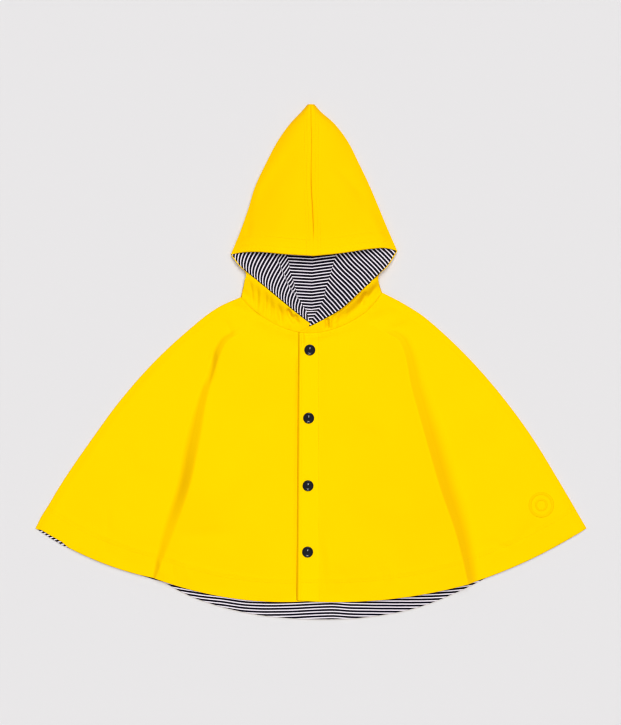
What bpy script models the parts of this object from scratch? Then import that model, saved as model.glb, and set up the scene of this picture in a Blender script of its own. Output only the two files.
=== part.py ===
"""A baby's hooded rain cape, laid flat on its back with the hood spread above the shoulders.

Every cut cloth piece is one object: a wall of cloth worked out from the tables below. The cape lies
on the XY plane with +Z up and the hood's point towards +Y. Left and right are the wearer's, so the
left front, which buttons over the right one, is on the +X side. The tables are in millimetres.
"""

import math
from bisect import bisect_right
from collections import namedtuple

import bmesh
import bpy

MM = 0.001
SEWN_WITHIN = 0.02

# Cloth
OUTER_WALL = 1.2
LINING_WALL = 1.0
SEAM_GAP = 0.5
LAYER_GAP = 0.4

# Heights of the layers, table side first
BACK_TOP = OUTER_WALL
LINING_BASE = BACK_TOP + LAYER_GAP
LINING_TOP = LINING_BASE + LINING_WALL
FRONT_TOP = LINING_TOP + LAYER_GAP + OUTER_WALL
SIDE_SEAM_TOP = BACK_TOP + LAYER_GAP + OUTER_WALL
LAP_LIFT = OUTER_WALL + LAYER_GAP

# Front opening: the left front laps over the right one
LAP_EDGE_X = {"left": -14.5, "right": 13.0}
EDGE_SLANT = 1.3
NECK_FRONT_Y = 33.0
HEM_FRONT_Y = -266.6
LAP_REST = 2.0
LAP_FADE = 28.0

# How the ridge of each soft fold falls away: a power on its inner side, a share of the wing outside
RIDGE_RISE = 2.0
RIDGE_FOOT = 0.085
# The share of the side seam, from the neck, over which the front sinks to it
SIDE_SINK = 0.2
# The share of the front's length over which its neck edge keeps clear of the hood
NECK_CLEAR = 1 / 12

# Middle of the opening's top edge, and peak of the hood
OPENING_TOP_X = 3.0
OPENING_TOP_Y = 117.6
PEAK_Y = 287.9
CROWN_POWER = {"left": 2.2, "right": 2.5}
LEAST_CROWN = 1.0

# Back neck seam and back hem
NECK_BACK_Y = 57.0
LINING_HEM_INSET = 1.1
LINING_SIDE_INSET = 4.2

# The strips at the sides of the opening
STRIP_FALL = 2.4
STRIP_ROUND = 0.93
SEAM_PULL = 3

# Lining of the hood: how far it stays inside the outer cloth, and where it turns out
LINING_PEAK = 0.84
LINING_FOLD = 4.5
LINING_INSET_EDGE = 3.4
LINING_INSET = 6.0
LINING_BELOW_CROWN = OUTER_WALL + 0.9
LINING_SET_BACK = 1.2
SET_BACK_POWER = 8
FLAP_FALL = 1.15
FLAP_SINK = 2.5
FLAP_ROUND = 8
MITRE_LIFT = 1.5
FACE_RIM = 2.0
FACE_RIM_DROP = 0.6
# The turned-out part ends where the two face edges cross
FLAP_END = {"left": 0.895, "right": 0.85}

# Snap fasteners down the front
SNAP_RADIUS = 6.3
SNAP_RIM_RADIUS = 5.0
SNAP_RIM_HEIGHT = 2.4
SNAP_RIM_WIDTH = 1.2
SNAP_RIM_ROUND = 0.3
SNAP_DISH_RADIUS = 2.7
SNAP_DISH_HEIGHT = 1.5
SNAP_DISH_DIP = 0.2
SNAP_FOOT_HEIGHT = 0.6
SNAP_FOOT_INSET = 0.2
SNAP_SEAT = 0.3
SNAP_STEPS = 32

Section = namedtuple("Section", "share side_x side_y fold_x fold_y ridge")
# One row for each section across a front, from its neck seam to its hem
FRONT_SECTIONS = {
    "left": (
        Section(0 / 12, 79.6, 77.6, 58.0, 53.5, 0.0),
        Section(1 / 12, 104.2, 64.8, 84.0, 38.6, 0.2),
        Section(2 / 12, 129.4, 48.2, 105.3, 23.7, 1.4),
        Section(4 / 12, 173.2, 7.7, 120.1, -28.8, 4.4),
        Section(6 / 12, 212.7, -37.1, 135.1, -82.6, 6.2),
        Section(8 / 12, 247.6, -84.5, 150.5, -136.3, 7.6),
        Section(10 / 12, 278.6, -135.1, 167.7, -189.5, 7.4),
        Section(12 / 12, 308.4, -186.2, 179.5, -247.0, 6.0),
    ),
    "right": (
        Section(0 / 12, -78.3, 72.6, -56.0, 52.0, 0.0),
        Section(1 / 12, -104.4, 60.6, -80.5, 36.6, 0.4),
        Section(2 / 12, -129.2, 42.2, -100.5, 20.3, 2.6),
        Section(4 / 12, -172.3, 3.0, -119.2, -30.7, 3.6),
        Section(6 / 12, -211.5, -40.9, -131.1, -84.0, 5.6),
        Section(8 / 12, -246.3, -88.1, -141.4, -137.7, 7.4),
        Section(10 / 12, -279.4, -136.6, -159.7, -189.3, 5.4),
        Section(12 / 12, -308.4, -186.2, -175.4, -241.8, 3.4),
    ),
}
# How far the neck seam and the hem bow below the straight line, inside and outside the fold
Bow = namedtuple("Bow", "neck_inner neck_outer hem_inner hem_outer")
FRONT_BOW = {
    "left": Bow(7.6, 2.4, 9.2, 5.0),
    "right": Bow(7.4, 1.6, 11.0, 7.4),
}

HemPoint = namedtuple("HemPoint", "share y")
# The back hem from the right corner to the left one; it hangs below the fronts at the middle
BACK_HEM = (
    HemPoint(0.000, -186.2),
    HemPoint(0.055, -206.8),
    HemPoint(0.150, -230.6),
    HemPoint(0.235, -247.6),
    HemPoint(0.262, -256.4),
    HemPoint(0.300, -266.6),
    HemPoint(0.360, -277.5),
    HemPoint(0.430, -285.0),
    HemPoint(0.520, -288.0),
    HemPoint(0.600, -285.6),
    HemPoint(0.690, -275.3),
    HemPoint(0.770, -256.4),
    HemPoint(0.850, -231.6),
    HemPoint(0.950, -202.4),
    HemPoint(1.000, -186.2),
)

HoodRow = namedtuple("HoodRow", "share left_x right_x seam_x crown fold")
# One row for each section through the hood, from its face edge to its peak: the folded sides, the
# centre seam, the height of the crown and the height of the folded sides
HOOD_ROWS = (
    HoodRow(0.00, 96.4, -89.5, OPENING_TOP_X, 18.0, 6.0),
    HoodRow(0.15, 85.6, -79.1, 2.8, 16.8, 5.4),
    HoodRow(0.30, 75.5, -70.2, 1.9, 15.4, 5.0),
    HoodRow(0.45, 65.1, -62.5, 0.4, 14.0, 4.7),
    HoodRow(0.60, 53.4, -50.8, 0.2, 12.6, 4.4),
    HoodRow(0.75, 40.9, -37.6, 0.8, 11.0, 4.2),
    HoodRow(0.87, 26.0, -23.5, 0.2, 9.2, 3.9),
    HoodRow(0.95, 11.2, -10.9, 0.0, 7.6, 3.6),
    HoodRow(1.00, 4.2, -3.8, 0.0, 6.4, 3.2),
)
EdgePoint = namedtuple("EdgePoint", "share left_y right_y")
# The face edge across the top of the opening, from the centre seam to each corner
FACE_TOP = (
    EdgePoint(0.00, OPENING_TOP_Y, OPENING_TOP_Y),
    EdgePoint(0.33, 120.8, 119.5),
    EdgePoint(0.66, 125.5, 122.3),
    EdgePoint(0.85, 126.8, 122.0),
    EdgePoint(1.00, 124.2, 119.9),
)

NeckRow = namedtuple("NeckRow", "share edge_x edge_y edge_z side_x side_y side_z base_z mitre_x mitre_y")
# One row for each section below the corners of the opening, down to the neck seam: the turned-out
# face edge, the folded side, the height of the cloth between, and the line where the lining turns
# from the back of the hood up into the turned-out edge
NECK_ROWS = {
    "left": (
        NeckRow(0.0, 96.4, 124.2, 6.0, 96.4, 124.2, 6.0, 6.0, 27.9, 119.4),
        NeckRow(0.1, 87.6, 109.2, 9.6, 87.2, 108.7, 5.6, 7.2, 26.6, 114.0),
        NeckRow(0.2, 77.7, 99.4, 12.5, 76.9, 98.5, 5.2, 8.0, 24.8, 108.0),
        NeckRow(0.4, 57.5, 79.8, 15.0, 75.6, 92.0, 4.6, 7.6, 20.8, 96.0),
        NeckRow(0.6, 35.2, 59.6, 15.0, 76.8, 86.0, 4.2, 6.8, 17.2, 84.0),
        NeckRow(0.8, 11.3, 45.8, 12.5, 78.3, 81.2, 3.8, 5.8, 14.4, 71.0),
        NeckRow(1.0, -14.5, 33.0, 6.2, 79.6, 77.6, 3.2, 4.4, 8.4, 57.4),
    ),
    "right": (
        NeckRow(0.0, -89.5, 119.9, 6.0, -89.5, 119.9, 6.0, 6.0, -26.0, 118.2),
        NeckRow(0.1, -81.2, 108.6, 9.6, -81.6, 108.1, 5.6, 7.2, -25.2, 112.4),
        NeckRow(0.2, -72.0, 100.5, 12.5, -72.8, 99.5, 5.2, 8.0, -23.9, 106.0),
        NeckRow(0.4, -49.0, 81.7, 14.5, -74.2, 91.6, 4.6, 7.6, -20.8, 94.0),
        NeckRow(0.6, -28.9, 65.0, 14.0, -75.7, 84.4, 4.2, 6.8, -17.1, 81.0),
        NeckRow(0.8, -8.4, 48.6, 9.5, -77.1, 78.3, 3.8, 5.2, -12.8, 69.0),
        NeckRow(1.0, 13.0, 33.0, 4.4, -78.3, 72.6, 3.2, 4.4, -5.6, 57.4),
    ),
}

# Where the columns and rows of each panel lie, as shares
INNER_COLUMNS = (0.0, 0.08, 0.2, 0.36, 0.52, 0.68, 0.82, 0.93, 1.0)
WING_COLUMNS = (0.0, 0.035, RIDGE_FOOT, 0.22, 0.42, 0.62, 0.82, 0.972, 1.0)
FRONT_ROWS = tuple(step / 12 for step in range(13))
BACK_COLUMNS = tuple(step / 16 for step in range(17))
BACK_ROWS = tuple(step / 8 for step in range(9))
CROWN_COLUMNS = (0.0, 0.22, 0.44, 0.64, 0.82, 0.94, 1.0)
UNDER_COLUMNS = (0.0, 0.1, 0.2, 0.42, 0.68, 1.0)
UNDER_CURL = 0.2
CONE_ROWS = (0.0, 0.08, 0.18, 0.3, 0.43, 0.56, 0.68, 0.79, 0.88, 0.95, 1.0)
LINING_CONE_ROWS = (0.0, 0.08, 0.18, 0.3, 0.43, 0.56, 0.68, 0.78, LINING_PEAK)
STRIP_ROWS = tuple(step / 8 for step in range(9))
FLAP_COLUMNS = (0.0, 0.06, 0.2, 0.4, 0.6, 0.8, 1.0)
MIDDLE_COLUMNS = (0.0, 0.5, 1.0)

SnapPlace = namedtuple("SnapPlace", "name x y")
SNAPS = (
    SnapPlace("snap_1", -1.2, 13.3),
    SnapPlace("snap_2", -2.5, -62.8),
    SnapPlace("snap_3", -3.2, -138.4),
    SnapPlace("snap_4", -3.7, -212.4),
)

SIGN = {"left": 1.0, "right": -1.0}


def mix(a, b, share):
    return a + (b - a) * share


def mix_points(a, b, share):
    return tuple(mix(p, q, share) for p, q in zip(a, b))


def read(rows, column, share):
    """A column of a table at any share, on a smooth curve through its rows."""
    shares = [row.share for row in rows]
    values = [getattr(row, column) for row in rows]
    last = len(rows) - 1
    k = max(0, min(last - 1, bisect_right(shares, share) - 1))

    def slope(i):
        low, high = max(0, i - 1), min(last, i + 1)
        return (values[high] - values[low]) / (shares[high] - shares[low])

    width = shares[k + 1] - shares[k]
    t = (share - shares[k]) / width
    start = values[k] * (1 + 2 * t) * (1 - t) ** 2 + slope(k) * width * t * (1 - t) ** 2
    end = values[k + 1] * t * t * (3 - 2 * t) + slope(k + 1) * width * t * t * (t - 1)
    return start + end


def ease(share):
    share = max(0.0, min(1.0, share))
    return share * share * (3 - 2 * share)


def bowed(start, end, bow):
    """A plain line between two points that bows towards -Y, as a function of a share."""
    return lambda share: (mix(start[0], end[0], share),
                          mix(start[1], end[1], share) - 4 * bow * share * (1 - share))


def coons(across, down, left, right, top, bottom):
    """A point inside four edge curves."""
    sides = mix_points(left(down), right(down), across)
    ends = mix_points(top(across), bottom(across), down)
    upper = mix_points(top(0), top(1), across)
    lower = mix_points(bottom(0), bottom(1), across)
    corners = mix_points(upper, lower, down)
    return tuple(s + e - c for s, e, c in zip(sides, ends, corners))


def side_line(side):
    rows = FRONT_SECTIONS[side]
    return lambda down: (read(rows, "side_x", down), read(rows, "side_y", down))


def fold_line(side):
    rows = FRONT_SECTIONS[side]
    return lambda down: (read(rows, "fold_x", down), read(rows, "fold_y", down))


def front_edge(side):
    return lambda down: (LAP_EDGE_X[side] - EDGE_SLANT * down, mix(NECK_FRONT_Y, HEM_FRONT_Y, down))


def lap_lift(side, x):
    """The left front rides up over the right one."""
    if side == "right":
        return 0.0
    return LAP_LIFT * (1 - ease((x - LAP_EDGE_X["right"] - LAP_REST) / LAP_FADE))


def front_inner(side, share, down):
    """The front between its free edge and its soft fold."""
    edge, fold, bow = front_edge(side), fold_line(side), FRONT_BOW[side]
    neck = bowed(edge(0), fold(0), bow.neck_inner)
    hem = bowed(edge(1), fold(1), bow.hem_inner)
    x, y = coons(share, down, edge, fold, neck, hem)
    ridge = read(FRONT_SECTIONS[side], "ridge", down)
    return x, y, FRONT_TOP + lap_lift(side, x) + ridge * share ** RIDGE_RISE


def front_wing(side, share, down):
    """The front between its soft fold and the side seam."""
    fold, seam, bow = fold_line(side), side_line(side), FRONT_BOW[side]
    neck = bowed(fold(0), seam(0), bow.neck_outer)
    hem = bowed(fold(1), seam(1), bow.hem_outer)
    x, y = coons(share, down, fold, seam, neck, hem)
    ridge = read(FRONT_SECTIONS[side], "ridge", down)
    z = FRONT_TOP + ridge * (1 - ease(share / RIDGE_FOOT))
    if share > WING_COLUMNS[-2]:
        z = mix(FRONT_TOP, SIDE_SEAM_TOP, ease(down / SIDE_SINK))
    return x, y, z + lap_lift(side, x)


def neck_shift(point, amount):
    """Moves a point of the neck seam to one side of it."""
    x, y, z = point
    return x, y + amount, z


def front_point(side, part, share, down):
    point = (front_inner if part == "inner" else front_wing)(side, share, down)
    return neck_shift(point, -SEAM_GAP / 2 * (1 - ease(down / NECK_CLEAR)))


def back_neck(inset=0.0):
    left, right = side_line("left")(0), side_line("right")(0)

    def line(share):
        dip = mix(right[1], left[1], share) - NECK_BACK_Y
        y = mix(right[1], left[1], share) - dip * math.sin(math.pi * share) - inset
        return mix(right[0], left[0], share), y

    return line


def back_point(across, down, base, side_inset, hem_inset):
    """The back, from its right side seam to its left one, at one height."""

    def seam(side):
        line = side_line(side)
        return lambda d: (line(d)[0] - SIGN[side] * side_inset, line(d)[1])

    def hem(share):
        right, left = seam("right")(1), seam("left")(1)
        return mix(right[0], left[0], share), read(BACK_HEM, "y", share) + hem_inset

    def neck(share):
        right, left = seam("right")(0), seam("left")(0)
        return mix(right[0], left[0], share), back_neck(SEAM_GAP / 2)(share)[1]

    x, y = coons(across, down, seam("right"), seam("left"), neck, hem)
    return x, y, base


def cone_top(side, across, share, inset=0.0):
    """The upper layer of the hood, from the centre seam to the folded side."""
    fold_x = read(HOOD_ROWS, side + "_x", share) - SIGN[side] * inset
    seam_x = read(HOOD_ROWS, "seam_x", share) + SIGN[side] * SEAM_GAP / 2
    edge_y = read(FACE_TOP, side + "_y", across)
    crown = read(HOOD_ROWS, "crown", share)
    fold = min(read(HOOD_ROWS, "fold", share), crown - LEAST_CROWN)
    z = mix(fold, crown, max(0.0, 1 - across ** CROWN_POWER[side]))
    return mix(seam_x, fold_x, across), mix(edge_y, PEAK_Y, share), z


def curl(share_in, height):
    """The height of cloth that turns under at a folded side, from the fold inwards."""
    turn = max(0.0, 1 - share_in)
    return height * (1 - math.sqrt(max(0.0, 1 - turn * turn)))


def under_point(fold_point, centre, share, radius):
    """The table side of the hood: it curls under within a radius, then lies flat to the centre."""
    width = abs(fold_point[0] - centre[0])
    radius = min(radius, width / 2)
    if share <= UNDER_CURL:
        inward = radius * (share / UNDER_CURL)
    else:
        inward = mix(radius, width, (share - UNDER_CURL) / (1 - UNDER_CURL))
    along = inward / width
    x, y = mix(fold_point[0], centre[0], along), mix(fold_point[1], centre[1], along)
    return x, y, curl(inward / radius, fold_point[2])


def cone_under(side, across, share):
    fold_point = cone_top(side, 1.0, share)
    seam_x = read(HOOD_ROWS, "seam_x", share) + SIGN[side] * SEAM_GAP / 2
    centre = (seam_x, mix(read(FACE_TOP, side + "_y", 0.0), PEAK_Y, share), 0.0)
    return under_point(fold_point, centre, across, fold_point[2])


def neck_row(side, share, *columns):
    return tuple(read(NECK_ROWS[side], column, share) for column in columns)


def neck_seam(side, across):
    """The front neck seam from the free edge to the shoulder, on the front's own points."""
    inner = len(INNER_COLUMNS) - 1
    columns = inner + len(WING_COLUMNS) - 1
    step = round(across * columns)
    if step <= inner:
        point = front_inner(side, INNER_COLUMNS[step], 0.0)
    else:
        point = front_wing(side, WING_COLUMNS[step - inner], 0.0)
    return neck_shift(point, SEAM_GAP / 2)


def neck_fold(side, share):
    """The folded side of the hood below the corners of its opening."""
    x, y, z = neck_row(side, share, "side_x", "side_y", "side_z")
    return x, y + share ** SEAM_PULL * SEAM_GAP / 2, z


def strip_point(side, across, share):
    """The outside of the hood that shows between the turned-out face edge and the neck seam."""
    edge = neck_row(side, share, "edge_x", "edge_y", "edge_z")
    fold = neck_fold(side, share)
    if across == 1:
        return fold
    base = neck_row(side, share, "base_z")[0]
    seam = neck_seam(side, across)
    start, end = neck_seam(side, 0.0), neck_seam(side, 1.0)
    pull = share ** SEAM_PULL
    x, y = (mix(edge[i], fold[i], across) for i in range(2))
    x += pull * (seam[0] - mix(start[0], end[0], across))
    y += pull * (seam[1] - mix(start[1], end[1], across))
    z = mix(base, edge[2], max(0.0, 1 - across / STRIP_ROUND) ** STRIP_FALL)
    z = mix(z + lap_lift(side, x) * ease(share * 2 - 1), seam[2], pull)
    return x, y, z


def neck_centre(side, share, z):
    """The hood's centre back seam, from the top of the opening down to the neck seam."""
    seam_x = OPENING_TOP_X * (1 - share) + SIGN[side] * SEAM_GAP / 2
    return seam_x, mix(OPENING_TOP_Y, NECK_BACK_Y + SEAM_GAP / 2, share), z


def neck_under(side, across, share):
    """The table side of the hood below the corners of its opening."""
    fold_point = neck_fold(side, share)
    centre = neck_centre(side, share, 0.0)
    x, y, z = under_point(fold_point, centre, across, fold_point[2])
    inward = (x - fold_point[0]) / (centre[0] - fold_point[0])
    seam = back_neck(-SEAM_GAP / 2)
    end = 1.0 if side == "left" else 0.0
    straight_y = mix(seam(end)[1], seam(0.5)[1], inward)
    return x, y + share ** SEAM_PULL * (seam(mix(end, 0.5, inward))[1] - straight_y), z


def lining_inset(share):
    return mix(LINING_INSET_EDGE, LINING_INSET, ease(share * 2))


def lining_fold(side, share):
    """Where the lining folds inside the folded side of the hood."""
    x, y, z = cone_top(side, 1.0, share, inset=lining_inset(share))
    return x, y, min(z, LINING_FOLD)


def lining_top(side, across, share):
    """The lining under the upper layer of the hood."""
    x, y, _ = cone_top(side, across, share, inset=lining_inset(share))
    fold = lining_fold(side, share)[2]
    crown = read(HOOD_ROWS, "crown", share) - LINING_BELOW_CROWN
    z = mix(fold, crown, max(0.0, 1 - across ** CROWN_POWER[side]))
    return x, y + LINING_SET_BACK * (1 - share) ** SET_BACK_POWER, z


def mitre(side, share):
    """The mitre line; its last fifth rises over the back neck seam."""
    x, y = neck_row(side, share, "mitre_x", "mitre_y")
    return x, y, LINING_BASE + MITRE_LIFT * ease(share * 5 - 4)


def flap_fall(start, end, share):
    """The lining's turned-out part, falling from the face edge to the back of the hood."""
    x, y, _ = mix_points(start, end, share)
    return x, y, mix(end[2], start[2], (1 - share) ** FLAP_FALL)


def cone_flap(side, across, share):
    """The lining over the back of the hood, from the folded side to the mitre line, in the cone."""
    start = lining_fold(side, share)
    mitre_x, mitre_y, mitre_z = mitre(side, 0.0)
    narrowing = read(HOOD_ROWS, side + "_x", share) / read(HOOD_ROWS, side + "_x", 0.0)
    foot = (mitre_x * narrowing, mix(mitre_y, PEAK_Y, share), mitre_z)
    x, y, z = flap_fall(start, foot, across)
    low = LINING_BASE + curl(across * FLAP_ROUND, start[2] - LINING_BASE)
    return x, y, mix(z, low, ease(share * FLAP_SINK))


def cone_middle(side, across, share):
    foot = cone_flap(side, 1.0, share)
    seam_x = read(HOOD_ROWS, "seam_x", share) + SIGN[side] * SEAM_GAP / 2
    centre = (seam_x, mix(OPENING_TOP_Y, PEAK_Y, share), LINING_BASE)
    return mix_points(foot, centre, across)


def face_edge(side, share):
    """The lining's edge, just inside the turned-out face edge."""
    along = share * FLAP_END[side]
    x, y, z = neck_row(side, along, "edge_x", "edge_y", "edge_z")
    corner = lining_fold(side, 0.0)
    inset = (x - SIGN[side] * FACE_RIM, y, z - FACE_RIM_DROP)
    return mix_points(corner, inset, ease(share * FLAP_ROUND))


def neck_flap(side, across, share):
    return flap_fall(face_edge(side, share), mitre(side, share), across)


def neck_middle(side, across, share):
    return mix_points(mitre(side, share), neck_centre(side, share, LINING_BASE), across)


def add_patch(mesh, point, columns, rows):
    """A grid of cloth whose corners each come from a function of two shares."""
    last_column, last_row = len(columns) - 1, len(rows) - 1
    grid = bmesh.ops.create_grid(mesh, x_segments=last_column, y_segments=last_row, size=1.0)
    for vertex in grid["verts"]:
        column = round((vertex.co.x + 1) / 2 * last_column)
        row = round((vertex.co.y + 1) / 2 * last_row)
        vertex.co = [value * MM for value in point(columns[column], rows[row])]


def join_patches(mesh):
    """Sews neighbouring grids together and turns the upper side of the cloth outwards."""
    bmesh.ops.remove_doubles(mesh, verts=mesh.verts, dist=SEWN_WITHIN * MM)
    bmesh.ops.recalc_face_normals(mesh, faces=mesh.faces)
    highest = max(mesh.faces, key=lambda face: face.calc_center_median().z)
    if highest.normal.z < 0:
        bmesh.ops.reverse_faces(mesh, faces=mesh.faces)


def make_material(name, colour, roughness, metallic=0.0):
    material = bpy.data.materials.new(name)
    material.use_nodes = True
    shader = material.node_tree.nodes["Principled BSDF"]
    shader.inputs["Base Color"].default_value = (*colour, 1.0)
    shader.inputs["Roughness"].default_value = roughness
    shader.inputs["Metallic"].default_value = metallic
    return material


def make_panel(name, patches, wall, material, collection):
    """One cut piece of cloth: its grids sewn into a surface, with the wall's thickness inwards."""
    sheet = bmesh.new()
    for point, columns, rows in patches:
        add_patch(sheet, point, columns, rows)
    join_patches(sheet)
    mesh = bpy.data.meshes.new(name)
    sheet.to_mesh(mesh)
    sheet.free()
    mesh.materials.append(material)
    panel = bpy.data.objects.new(name, mesh)
    collection.objects.link(panel)
    solidify = panel.modifiers.new("cloth wall", "SOLIDIFY")
    solidify.thickness = wall * MM
    solidify.offset = -1.0
    return panel


def make_front(side, material, collection):
    def inner(share, down):
        return front_point(side, "inner", share, down)

    def wing(share, down):
        return front_point(side, "wing", share, down)

    patches = ((inner, INNER_COLUMNS, FRONT_ROWS), (wing, WING_COLUMNS, FRONT_ROWS))
    return make_panel("front_" + side, patches, OUTER_WALL, material, collection)


def make_back(material, collection):
    def back(across, down):
        return back_point(across, down, BACK_TOP, 0.0, 0.0)

    return make_panel("back", ((back, BACK_COLUMNS, BACK_ROWS),), OUTER_WALL, material, collection)


def make_back_lining(material, collection):
    def lining(across, down):
        return back_point(across, down, LINING_TOP, LINING_SIDE_INSET, LINING_HEM_INSET)

    patches = ((lining, BACK_COLUMNS, BACK_ROWS),)
    return make_panel("back_lining", patches, LINING_WALL, material, collection)


def make_hood_outer(side, material, collection):
    strip_columns = len(INNER_COLUMNS) + len(WING_COLUMNS) - 2
    strip_shares = tuple(step / strip_columns for step in range(strip_columns + 1))
    patches = (
        (lambda c, r: cone_top(side, c, r), CROWN_COLUMNS, CONE_ROWS),
        (lambda c, r: cone_under(side, c, r), UNDER_COLUMNS, CONE_ROWS),
        (lambda c, r: strip_point(side, c, r), strip_shares, STRIP_ROWS),
        (lambda c, r: neck_under(side, c, r), UNDER_COLUMNS, STRIP_ROWS),
    )
    return make_panel("hood_" + side, patches, OUTER_WALL, material, collection)


def make_hood_lining(side, material, collection):
    patches = (
        (lambda c, r: lining_top(side, c, r), CROWN_COLUMNS, LINING_CONE_ROWS),
        (lambda c, r: cone_flap(side, c, r), FLAP_COLUMNS, LINING_CONE_ROWS),
        (lambda c, r: cone_middle(side, c, r), MIDDLE_COLUMNS, LINING_CONE_ROWS),
        (lambda c, r: neck_flap(side, c, r), FLAP_COLUMNS, STRIP_ROWS),
        (lambda c, r: neck_middle(side, c, r), MIDDLE_COLUMNS, STRIP_ROWS),
    )
    return make_panel("hood_lining_" + side, patches, LINING_WALL, material, collection)


def snap_profile():
    """Half a snap cap, from the middle of its dish over its rim to its foot."""
    rim_side = SNAP_RIM_HEIGHT - SNAP_RIM_ROUND
    return (
        (0.0, SNAP_DISH_HEIGHT - SNAP_DISH_DIP),
        (SNAP_DISH_RADIUS, SNAP_DISH_HEIGHT),
        (SNAP_RIM_RADIUS - SNAP_RIM_WIDTH / 2, rim_side),
        (SNAP_RIM_RADIUS, SNAP_RIM_HEIGHT),
        (SNAP_RIM_RADIUS + SNAP_RIM_WIDTH / 2, rim_side),
        (SNAP_RADIUS, SNAP_FOOT_HEIGHT),
        (SNAP_RADIUS - SNAP_FOOT_INSET, 0.0),
        (0.0, 0.0),
    )


def make_snap(place, material, collection):
    """A snap cap: its profile turned about its own axis, seated on the left front."""
    mesh = bpy.data.meshes.new(place.name)
    corners = [(radius * MM, 0.0, height * MM) for radius, height in snap_profile()]
    mesh.from_pydata(corners, [(i, i + 1) for i in range(len(corners) - 1)], [])
    mesh.materials.append(material)
    snap = bpy.data.objects.new(place.name, mesh)
    collection.objects.link(snap)
    turn = snap.modifiers.new("turned", "SCREW")
    turn.steps = turn.render_steps = SNAP_STEPS
    turn.use_merge_vertices = True
    turn.merge_threshold = 0.01 * MM
    seat = FRONT_TOP + LAP_LIFT + SNAP_SEAT
    snap.location = (place.x * MM, place.y * MM, seat * MM)
    return snap


def main():
    for thing in list(bpy.data.objects):
        bpy.data.objects.remove(thing)
    cape = bpy.data.collections.new("baby_rain_cape")
    bpy.context.scene.collection.children.link(cape)
    coated = make_material("coated_cloth", (0.93, 0.68, 0.0), 0.5)
    striped = make_material("striped_jersey", (0.45, 0.42, 0.46), 0.85)
    enamel = make_material("snap_enamel", (0.01, 0.012, 0.03), 0.25)
    make_back(coated, cape)
    make_back_lining(striped, cape)
    for side in ("left", "right"):
        make_front(side, coated, cape)
        make_hood_outer(side, coated, cape)
        make_hood_lining(side, striped, cape)
    for place in SNAPS:
        make_snap(place, enamel, cape)


main()
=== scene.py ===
"""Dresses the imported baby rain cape: coated cloth, striped jersey lining, topstitching, snap caps.

The cape lies flat on its back in the CAD frame, with the hood's point towards +Y. Left and right are
the wearer's, so the left front, which laps over the right one, is on the +X side. The tables and the
shape functions work in millimetres; MM turns them into the frame's metres.
"""

import math
from functools import partial

import bmesh
import bpy
import numpy as np
from bpy.props import FloatProperty, FloatVectorProperty, IntProperty, PointerProperty
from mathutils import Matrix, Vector
from mathutils.bvhtree import BVHTree


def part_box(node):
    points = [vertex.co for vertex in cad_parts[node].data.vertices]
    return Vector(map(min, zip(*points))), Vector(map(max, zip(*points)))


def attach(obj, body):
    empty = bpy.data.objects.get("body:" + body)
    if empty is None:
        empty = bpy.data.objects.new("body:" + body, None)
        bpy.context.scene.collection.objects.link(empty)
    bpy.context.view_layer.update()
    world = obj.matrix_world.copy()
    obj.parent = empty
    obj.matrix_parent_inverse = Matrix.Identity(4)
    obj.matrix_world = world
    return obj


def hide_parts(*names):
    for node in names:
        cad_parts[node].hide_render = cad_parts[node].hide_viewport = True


bl_info = {
    "name": "Baby Rain Cape Dresser",
    "version": (1, 0, 0),
    "blender": (4, 5, 0),
    "location": "3D View > Sidebar > Rain Cape",
    "description": "Builds the cloth, lining, stitching and snaps of a baby rain cape on its CAD frame",
    "category": "Object",
}

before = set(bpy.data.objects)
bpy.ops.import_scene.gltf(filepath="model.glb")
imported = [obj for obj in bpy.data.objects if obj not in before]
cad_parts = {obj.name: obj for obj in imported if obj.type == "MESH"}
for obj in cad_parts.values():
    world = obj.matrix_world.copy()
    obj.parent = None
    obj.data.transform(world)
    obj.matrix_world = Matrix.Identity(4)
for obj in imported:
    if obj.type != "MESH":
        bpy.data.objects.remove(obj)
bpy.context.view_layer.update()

MM = 0.001
SIDES = ("left", "right")
SIGN = {"left": 1.0, "right": -1.0}

# Cloth walls, and the layers' heights above the table
OUTER_WALL = 1.2
FRONT_WALL = 1.0
LINING_WALL = 1.0
LAYER_GAP = 0.4
BACK_TOP = OUTER_WALL
LINING_BASE = BACK_TOP + LAYER_GAP
LINING_TOP = LINING_BASE + LINING_WALL
FRONT_TOP = LINING_TOP + LAYER_GAP + OUTER_WALL
SIDE_SEAM_TOP = BACK_TOP + LAYER_GAP + OUTER_WALL

# Fronts: the left one rides over the right one, and its edge is turned down onto it
FRONT_LENGTH = 300.0
NECK_FRONT_Y = 33.0
HEM_FRONT_Y = -266.6
LAP_EDGE_X = {"left": -14.5, "right": 13.0}
LAP_LIFT = {"left": OUTER_WALL + LAYER_GAP, "right": 0.0}
LAP_REST = 2.0
LAP_FADE = 28.0
EDGE_SLANT = 1.9
EDGE_PLUMP = 1.6
EDGE_PLUMP_REACH = 7.0
EDGE_FALL = {"left": 3.8, "right": 1.4}
EDGE_TURN = 4.2
UNDER_LAP_DIP = 1.6
UNDER_LAP_REACH = 3.6
NECK_FALL = {"left": 1.2, "right": 0.0}
NECK_TURN = 6.5
NECK_PLUMP = 0.4
NECK_PLUMP_REACH = 34.0
SEAM_RAISE = 1.0
SEAM_FADE = 14.0
RIDGE_RISE = 2.0
WAVE_HEIGHT = 0.16
FOLD_SKEW = {"left": 0.64, "right": 0.8}
# How far each edge bows towards -Y: neck inside and outside the fold, hem inside and outside it
FRONT_BOW = {"left": (7.6, 2.4, 9.2, 5.0), "right": (7.4, 1.6, 11.0, 7.4)}
# The right front's hem draws back at its corner, where the lining shows below it
CORNER_PEEP = 2.5
CORNER_FROM = -307.0
CORNER_TO = -270.0

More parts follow.
